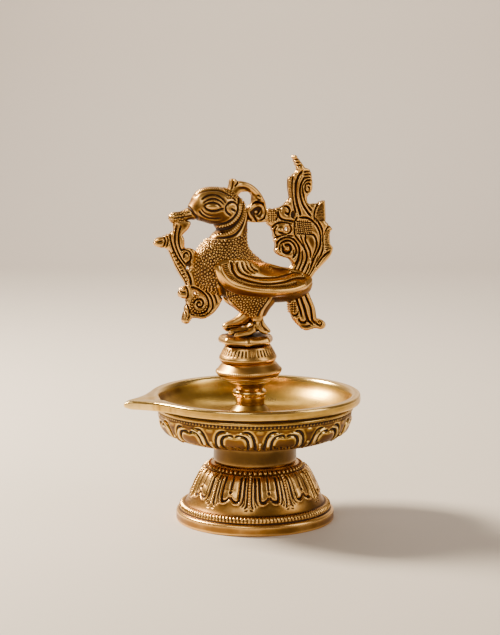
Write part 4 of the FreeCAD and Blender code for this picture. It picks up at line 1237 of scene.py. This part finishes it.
def wing_plate(name):
    """The wing's carved face, still flat: rolled rim, hatched band, feather lines, curls at its shoulder."""
    wing = plate(
        name,
        [
            [(-26.2, 139.3), (-25.0, 135.2), (-22.2, 131.2), (-18.6, 128.4), (-13.6, 126.2), (-6.7, 124.9),
             (2.1, 124.1), (10.8, 123.9), (17.8, 124.6), (23.6, 126.4), (28, 128.6), (31.2, 130.4)],
            [(31.6, 132.2), (28.8, 134.6), (22, 137.0), (15, 138.8), (8, 140.6), (0, 142.8), (-8, 144.5),
             (-16, 145.3), (-22.4, 144.9), (-26.1, 141.8)],
        ],
        1.8,
        edge_round=2.6,
        inset=0,
        shift=(0, 0),
    )
    r = face_relief(wing)
    r.ridge(3.0, 1.5, (-24.3, 143), (-24.1, 141.2), (-23.3, 137.9), (-20.7, 134.0), (-16.5, 130.9),
            (-10.3, 129.0), (-3.4, 127.9), (5.3, 127.0), (14.0, 127.2), (20.9, 128.4), (26.4, 130.2))
    r.groove(0.95, 1.2, (-18, 144), (-17.7, 141.6), (-17.4, 139.3), (-15.3, 136.2), (-12.2, 134.5),
             (-7.2, 132.9), (-2.6, 131.8), (1.4, 131.3), (5.5, 131.3), (9.6, 131.5), (14, 131.9),
             (20.4, 132.9), (26.4, 132.8))
    outer = [(-23.4, 142.2), (-22.2, 139.2), (-18.2, 135.2), (-12, 132.2), (-4, 130.3), (8, 129.4),
             (19, 129.7)]
    inner = [(-19.8, 143), (-19.2, 140.2), (-16.4, 136.4), (-11, 133.5), (-3.4, 131.4), (7.4, 130.6),
             (20.4, 131.8)]
    for stroke in rungs(outer, inner, 46):
        r.groove(0.5, 0.7, *stroke, taper=0.4)
    r.ridge(1.1, 0.8, (-16.7, 144.0), (-16.2, 141.6), (-15.6, 139.4), (-13.7, 137.3), (-11, 135.9),
            (-6.4, 134.2), (-1, 133.0), (5, 132.7), (12, 133.2), (19, 134.2), (25, 134.6))
    r.groove(0.75, 0.85, (-14.4, 143.4), (-14.3, 141.2), (-13.7, 139.2), (-12, 137.6), (-8.6, 136.2),
             (-3, 135.0), (4.9, 134.5), (13.3, 134.8), (21.3, 135.8))
    for curl in (
        [(-11.6, 143.4), (-11.3, 141.6), (-10.4, 139.4), (-7.6, 137.5)],
        [(-8.8, 143.0), (-8.5, 141.0), (-7.6, 139.2), (-5.2, 137.8)],
        [(-6.2, 142.6), (-5.9, 141.2), (-5.1, 139.6), (-3.2, 138.6)],
    ):
        r.groove(0.85, 0.95, *curl)
    r.mound((8.5, 137.8), (10.5, 3.2), -1.1, -7)
    r.ridge(1.0, 0.7, (6, 141.0), (12, 139.6), (16, 139.2), (20.4, 138.0), (23.6, 136.5), (27.4, 133.8))
    r.groove(0.6, 0.6, (14.4, 138.0), (18, 137.2), (24.4, 134.8))
    for k in range(8):
        r.groove(0.35, 0.32, (17.5 + 1.25 * k, 133.2 + 0.05 * k), (18.6 + 1.2 * k, 134.9 - 0.05 * k),
                 taper=0.4)
    r.pillow(0.4, 1.5)
    return carve(wing, r)


def make_wing(name, side, flank):
    """The flat wing laid on the body's flank; side is -1 for the near wing and 1 for the far one."""
    wing = wing_plate(name)
    x, w, z = vertices(wing).T
    proud = 2.9 - 2.0 * smooth_step(z + 0.12 * x, 131, 144)
    depth = flank(x, z) + proud - 1.7 + side * w
    set_vertices(wing, np.stack([x, side * depth, z], 1))
    return wing


def limb(points, radii, columns=20):
    """A round limb through points whose radius changes on the way, with rounded ends."""
    line = spline([(*p, r) for p, r in zip(points, radii)], 0.4)
    path, radius = line[:, :3], line[:, 3].copy()
    reach = np.r_[0, np.cumsum(np.linalg.norm(np.diff(path, axis=0), axis=1))]
    for end in (reach, reach[-1] - reach):
        near = end < radius
        radius[near] *= np.sqrt(np.clip(1 - (1 - end[near] / radius[near]) ** 2, 0.02, 1))
    around = np.linspace(0, FULL_TURN, columns, endpoint=False)
    rings = []
    for i, (p, r) in enumerate(zip(path, radius)):
        forward = path[min(i + 1, len(path) - 1)] - path[max(i - 1, 0)]
        forward /= np.linalg.norm(forward)
        across = np.cross(forward, (0, 0, 1.0))
        across /= np.linalg.norm(across)
        up = np.cross(across, forward)
        rings.append(p + r * (np.outer(np.cos(around), across) + np.outer(np.sin(around), up)))
    return capped_tube(rings)


def make_feet():
    """Two clawed feet: a stout shank, thick front toes that curl over the perch's edge and spurs behind."""
    shells = [
        limb([(0.6, 4, 116.5), (-2.6, 4, 112.8), (-6.4, 4, 109.9), (-10.4, 4, 108.1), (-14.2, 4, 107.0),
              (-17.4, 4, 105.9)], [4.4, 4.4, 3.6, 2.9, 2.4, 1.8]),
        limb([(-6, 5.6, 106.6), (-11, 6.2, 105.6), (-15.5, 6.2, 104.6)], [2.6, 2.2, 1.4]),
        limb([(-2.6, 4, 110), (-2.2, 4, 104.8)], [3.3, 3.1]),
        limb([(0.5, 4, 110.5), (2.4, 4.4, 106.8), (5.8, 4.6, 104.0)], [2.3, 2.0, 1.1]),
        limb([(0.6, -4.6, 115.4), (-0.2, -5.0, 111.6), (-1.8, -5.6, 108.6)], [3.8, 3.1, 3.0]),
        limb([(-1.4, -6.0, 109.4), (-1.0, -6.6, 104.6)], [2.5, 2.6]),
        limb([(-2.2, -6.0, 109.2), (-5.2, -6.4, 106.4), (-9.4, -6.6, 105.4), (-14.2, -6.6, 105.2),
              (-17.4, -6.6, 104.4)], [2.8, 1.9, 1.6, 1.7, 1.2]),
        limb([(-2.4, -7.0, 106.6), (-6.8, -8.6, 104.4), (-11.6, -9.2, 103.9), (-14.8, -9.2, 103.6)],
             [2.3, 1.6, 1.5, 1.2]),
        limb([(-2, -4.6, 106.8), (-8, -3.4, 105.4), (-13.6, -3.0, 104.6)], [2.4, 1.9, 1.3]),
        limb([(-0.9, -6.4, 110.6), (-0.4, -7.4, 107.6), (1.4, -8.0, 105.2), (4.8, -8.0, 103.6)],
             [1.7, 1.5, 1.4, 1.0]),
        limb([(1.0, -5.4, 111.6), (2.2, -6.0, 108.6), (4.4, -6.2, 105.8), (6.8, -6.2, 103.8)],
             [1.8, 1.5, 1.4, 0.9]),
        limb([(-3, -4.2, 104.2), (-3.2, 0, 104.4), (-3, 4.2, 104.2)], [2.4, 2.2, 2.4]),
    ]
    feet = new_mesh_object("Bird_feet", *joined(shells))
    remeshed(feet, 0.27)
    low, _ = node_box("bird_feet")
    co = relax(vertices(feet), edges(feet), 3, 0.6)
    co[:, 2] = np.maximum(co[:, 2], low[2] - 0.05)
    set_vertices(feet, co)
    r = face_relief(feet)
    for line in (
        [(-2.6, 110.2), (-4.2, 108.0), (-8.4, 107.0), (-12.6, 107.2), (-15.4, 106.6)],
        [(-0.4, 109.8), (0.6, 107.6), (3.0, 105.4)],
        [(-15.4, 105.6), (-13.8, 105.2), (-13.9, 104.3), (-15.2, 104.2)],
    ):
        r.groove(0.6, 0.6, *line)
    return carve(feet, r, 1.0, (0.05, 0.5))


# ---- brass ---------------------------------------------------------------------------------------------
def brass(name, colours, roughness, patina_depth, grain=0.5, lathe=0.0):
    """Antique brass: its colours run from rubbed high spots, over plain metal, to dark patina in hollows.
    Painted shade and painted light, stored with the patina, move spots along the same colours.
    """
    material = bpy.data.materials.new(name)
    material.use_nodes = True
    nodes, links = material.node_tree.nodes, material.node_tree.links
    shader = nodes["Principled BSDF"]
    shader.inputs["Specular IOR Level"].default_value = 0.5

    def add(kind, **settings):
        node = nodes.new(kind)
        for key, value in settings.items():
            setattr(node, key, value)
        return node

    def noise(scale, detail):
        node = add("ShaderNodeTexNoise")
        node.inputs["Scale"].default_value = scale
        node.inputs["Detail"].default_value = detail
        links.new(place.outputs["Object"], node.inputs["Vector"])
        return node.outputs["Fac"]

    def combine(operation, a, b):
        node = add("ShaderNodeMath", operation=operation)
        for socket, value in zip(node.inputs, (a, b)):
            if isinstance(value, (int, float)):
                socket.default_value = value
            else:
                links.new(value, socket)
        return node.outputs[0]

    def ramp(value, stops):
        node = add("ShaderNodeValToRGB")
        while len(node.color_ramp.elements) < len(stops):
            node.color_ramp.elements.new(0.5)
        for element, (at, colour) in zip(node.color_ramp.elements, stops):
            element.position = at
            element.color = (*colour, 1)
        links.new(value, node.inputs["Fac"])
        return node.outputs["Color"]

    place = add("ShaderNodeTexCoord")
    # This attribute holds the patina in hollows together with painted shade and painted light.
    hollow = add("ShaderNodeAttribute", attribute_name="hollow").outputs["Fac"]
    cloud = noise(90, 5)
    fine = noise(900, 3)
    level = combine("MULTIPLY", hollow, 1.0 / patina_depth)
    level = combine("ADD", level, 0.36)
    level = combine("ADD", level, combine("MULTIPLY", combine("SUBTRACT", cloud, 0.5), 0.42))
    level = combine("ADD", level, combine("MULTIPLY", combine("SUBTRACT", fine, 0.5), 0.16 * grain))
    rubbed, plain, dull, dark = colours
    colour = ramp(level, [(0.0, rubbed), (0.3, plain), (0.56, dull), (0.9, dark)])
    links.new(colour, shader.inputs["Base Color"])

    low, high = roughness
    rough = ramp(level, [(0.0, (low,) * 3), (0.4, ((low + high) * 0.45,) * 3), (0.85, (high,) * 3)])
    links.new(rough, shader.inputs["Roughness"])
    metal = ramp(level, [(0.5, (1, 1, 1)), (0.95, (0.45,) * 3)])
    links.new(metal, shader.inputs["Metallic"])

    bump = add("ShaderNodeBump")
    bump.inputs["Strength"].default_value = 0.35 * grain
    bump.inputs["Distance"].default_value = 0.00012
    links.new(combine("ADD", noise(1400, 4), combine("MULTIPLY", noise(260, 3), 1.5)), bump.inputs["Height"])
    last = bump
    if lathe:
        ringed = add("ShaderNodeTexWave", wave_type="RINGS", rings_direction="Z")
        ringed.inputs["Scale"].default_value = 260
        ringed.inputs["Distortion"].default_value = 1.2
        ringed.inputs["Detail"].default_value = 3
        links.new(place.outputs["Object"], ringed.inputs["Vector"])
        last = add("ShaderNodeBump")
        last.inputs["Strength"].default_value = lathe
        last.inputs["Distance"].default_value = 0.00004
        links.new(ringed.outputs["Fac"], last.inputs["Height"])
        links.new(bump.outputs["Normal"], last.inputs["Normal"])
    links.new(last.outputs["Normal"], shader.inputs["Normal"])
    return material


# Each metal's rubbed, plain, dull and dark colour.
CAST = ((0.82, 0.48, 0.145), (0.31, 0.150, 0.032), (0.12, 0.050, 0.010), (0.032, 0.012, 0.003))
BIRD = ((0.80, 0.46, 0.13), (0.205, 0.093, 0.018), (0.080, 0.032, 0.007), (0.030, 0.011, 0.003))
SPRAY = ((0.80, 0.46, 0.13), (0.190, 0.082, 0.016), (0.095, 0.038, 0.008), (0.042, 0.016, 0.004))
BRIGHT = ((0.88, 0.57, 0.18), (0.46, 0.275, 0.065), (0.19, 0.092, 0.018), (0.038, 0.015, 0.005))
POLISHED = ((0.93, 0.65, 0.23), (0.66, 0.405, 0.078), (0.20, 0.088, 0.015), (0.026, 0.011, 0.003))
# Tarnished brass for the neck collar, darkened further with the dish's shadow painted in.
TARNISH_AND_SHADOW = ((0.28, 0.16, 0.050), (0.105, 0.056, 0.015), (0.048, 0.024, 0.008), (0.012, 0.006, 0.003))
METALS = {
    "cast_brass": brass("Cast brass", CAST, (0.27, 0.60), 0.42),
    "dish_brass": brass("Dish brass", POLISHED, (0.17, 0.58), 0.46, grain=0.5, lathe=0.12),
    "turned_brass": brass("Turned brass", BRIGHT, (0.22, 0.5), 0.6, grain=0.4, lathe=0.2),
    "bird_brass": brass("Bird brass", BIRD, (0.28, 0.62), 0.40, grain=0.9),
}
SPRAY_METAL = brass("Carved brass", SPRAY, (0.27, 0.60), 0.46, grain=0.9)
COLLAR_SHADOWED_METAL = brass("Tarnished brass with painted shadow", TARNISH_AND_SHADOW, (0.26, 0.6), 0.5, grain=0.6, lathe=0.2)


# ---- putting the pieces on the frame --------------------------------------------------------------------
def place(obj, node, body, slot, reach_mm=0.9, metal=None):
    """Gives a finished piece its wear, painted shade and painted light, and its metal, chosen by its slot
    unless one is given; hides its CAD node and ties the piece to its body.
    """
    store_wear_and_shading(obj, reach_mm)
    obj.data.materials.clear()
    obj.data.materials.append(metal or METALS[slot])
    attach(obj, body)
    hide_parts(node)
    return obj


place(make_foot(), "foot", "foot", "cast_brass", 1.0)
# The collar's metal holds its tarnish together with the dish's shadow as painted shade.
place(make_collar(), "neck_collar", "collar", "turned_brass", metal=COLLAR_SHADOWED_METAL)
dish = place(make_dish(), "oil_dish", "dish", "dish_brass", 1.1)
# The dish is darkened outside under its rim, as painted shade, and made lighter on its spout.
dish_x, dish_y, dish_z = vertices(dish).T
wall = smooth_step(np.hypot(dish_x, dish_y), 38, 46) * (1 - smooth_step(dish_z, 63.0, 64.5))
tarnish_and_shade(dish, 0.13 * wall * (normals(dish)[:, 2] < 0.3) - 0.2 * smooth_step(-dish_x, 57, 64))
place(make_spigot(), "dish_spigot", "dish", "turned_brass")
place(make_stem(), "stem", "dish", "turned_brass")
place(make_stem_ring(), "stem_ring", "ring", "turned_brass")
place(make_cup(), "drip_cup", "finial", "turned_brass")
place(make_lower_disc(), "lower_disc", "finial", "cast_brass")
place(make_upper_disc(), "upper_disc", "finial", "cast_brass")
perch = place(make_perch(), "perch_plate", "finial", "cast_brass")
tarnish_and_shade(perch, 0.3 * (vertices(perch)[:, 2] > 101.9))     # its top darkened as painted shadow under the feet
place(make_stud(), "finial_stud", "finial", "turned_brass")
place(make_feet(), "bird_feet", "finial", "bird_brass")
torso = make_body()
flank = flank_map(torso)
place(torso, "bird_body", "finial", "bird_brass")
tarnish_and_shade(torso, 0.03 * smooth_step(vertices(torso)[:, 2], 150, 156))     # its head
for side, name in ((-1, "Wing_left"), (1, "Wing_right")):
    wing = place(make_wing(name, side, flank), name.lower(), "finial", "bird_brass", metal=SPRAY_METAL)
    tarnish_and_shade(wing, -0.04, 0.12)
place(make_tail(), "tail_fan", "finial", "bird_brass", metal=SPRAY_METAL)
place(make_plume(), "tail_plume", "finial", "bird_brass", metal=SPRAY_METAL)
place(make_crest(), "crest_arch", "finial", "bird_brass")
place(make_garland(), "beak_garland", "finial", "bird_brass", metal=SPRAY_METAL)


# ---- floor, light and camera ----------------------------------------------------------------------------
def simple_material(name, colour, roughness):
    material = bpy.data.materials.new(name)
    material.use_nodes = True
    shader = material.node_tree.nodes["Principled BSDF"]
    shader.inputs["Base Color"].default_value = (*colour, 1)
    shader.inputs["Roughness"].default_value = roughness
    return material


def make_stage():
    """Pale floor that curves up into a pale wall beyond the lamp, outside every camera's way."""
    near, far, half, bend, top = -5000.0, 1150.0, 4000.0, 260.0, 2600.0
    line = [(near, 0.0), (far, 0.0)]
    line += [(far + bend * math.sin(a), bend * (1 - math.cos(a))) for a in np.linspace(0.1, math.pi / 2, 14)]
    line += [(far + bend, top)]
    verts = [(x, y, z) for y, z in line for x in (-half, half)]
    faces = [(2 * i, 2 * i + 1, 2 * i + 3, 2 * i + 2) for i in range(len(line) - 1)]
    floor = new_mesh_object("Floor_sweep", verts, faces)
    floor.matrix_world = Matrix.Rotation(VIEW_BEARING, 4, "Z")
    floor.data.materials.append(simple_material("pale_floor", (0.72, 0.66, 0.60), 0.7))


def add_light(name, bearing, elevation, distance, size, power, colour, target=(0, 0, 0.1)):
    """A soft rectangular light; its bearing is in degrees to the right of the way the camera looks."""
    light = bpy.data.lights.new(name, "AREA")
    light.shape = "RECTANGLE"
    light.size, light.size_y = size
    light.energy = power
    light.color = colour
    obj = bpy.data.objects.new(name, light)
    a = math.pi / 2 + VIEW_BEARING - math.radians(bearing)
    e = math.radians(elevation)
    toward = Vector((math.cos(a) * math.cos(e), math.sin(a) * math.cos(e), math.sin(e)))
    obj.location = Vector(target) + toward * distance
    obj.rotation_euler = toward.to_track_quat("Z", "Y").to_euler()
    bpy.context.scene.collection.objects.link(obj)


def add_camera():
    camera = bpy.data.cameras.new("Camera")
    camera.lens = LENS
    camera.sensor_width = 36
    camera.clip_end = 20
    obj = bpy.data.objects.new("Camera", camera)
    obj.location = Vector(CAMERA_PLACE) * MM
    obj.rotation_euler = (math.radians(90 - CAMERA_PITCH), 0, VIEW_BEARING)
    bpy.context.scene.collection.objects.link(obj)
    bpy.context.scene.camera = obj


VIEW_BEARING = math.radians(-18)      # the camera looks along +Y, turned by this
CAMERA_PLACE = (-322.1, -982.5, 263.0)
CAMERA_PITCH = 8.34                   # degrees down
LENS = 108.85
SKY_COLOUR, SKY_STRENGTH = (0.62, 0.46, 0.31, 1), 0.25

make_stage()
add_light("Key", -67, 38, 0.95, (0.27, 0.27), 34, (1.0, 0.86, 0.66))
add_light("Fill_front", 205, 32, 1.3, (0.7, 0.7), 5, (1.0, 0.93, 0.84))
add_light("Backdrop", 180, 42, 1.0, (1.0, 0.6), 9, (1.0, 0.93, 0.86), (0.43, 1.32, 0.35))
add_light("Side_right", 110, 24, 1.1, (0.5, 0.9), 4, (1.0, 0.9, 0.78))
world = bpy.data.worlds.new("World")
world.use_nodes = True
world.node_tree.nodes["Background"].inputs["Color"].default_value = SKY_COLOUR
world.node_tree.nodes["Background"].inputs["Strength"].default_value = SKY_STRENGTH
bpy.context.scene.world = world
add_camera()
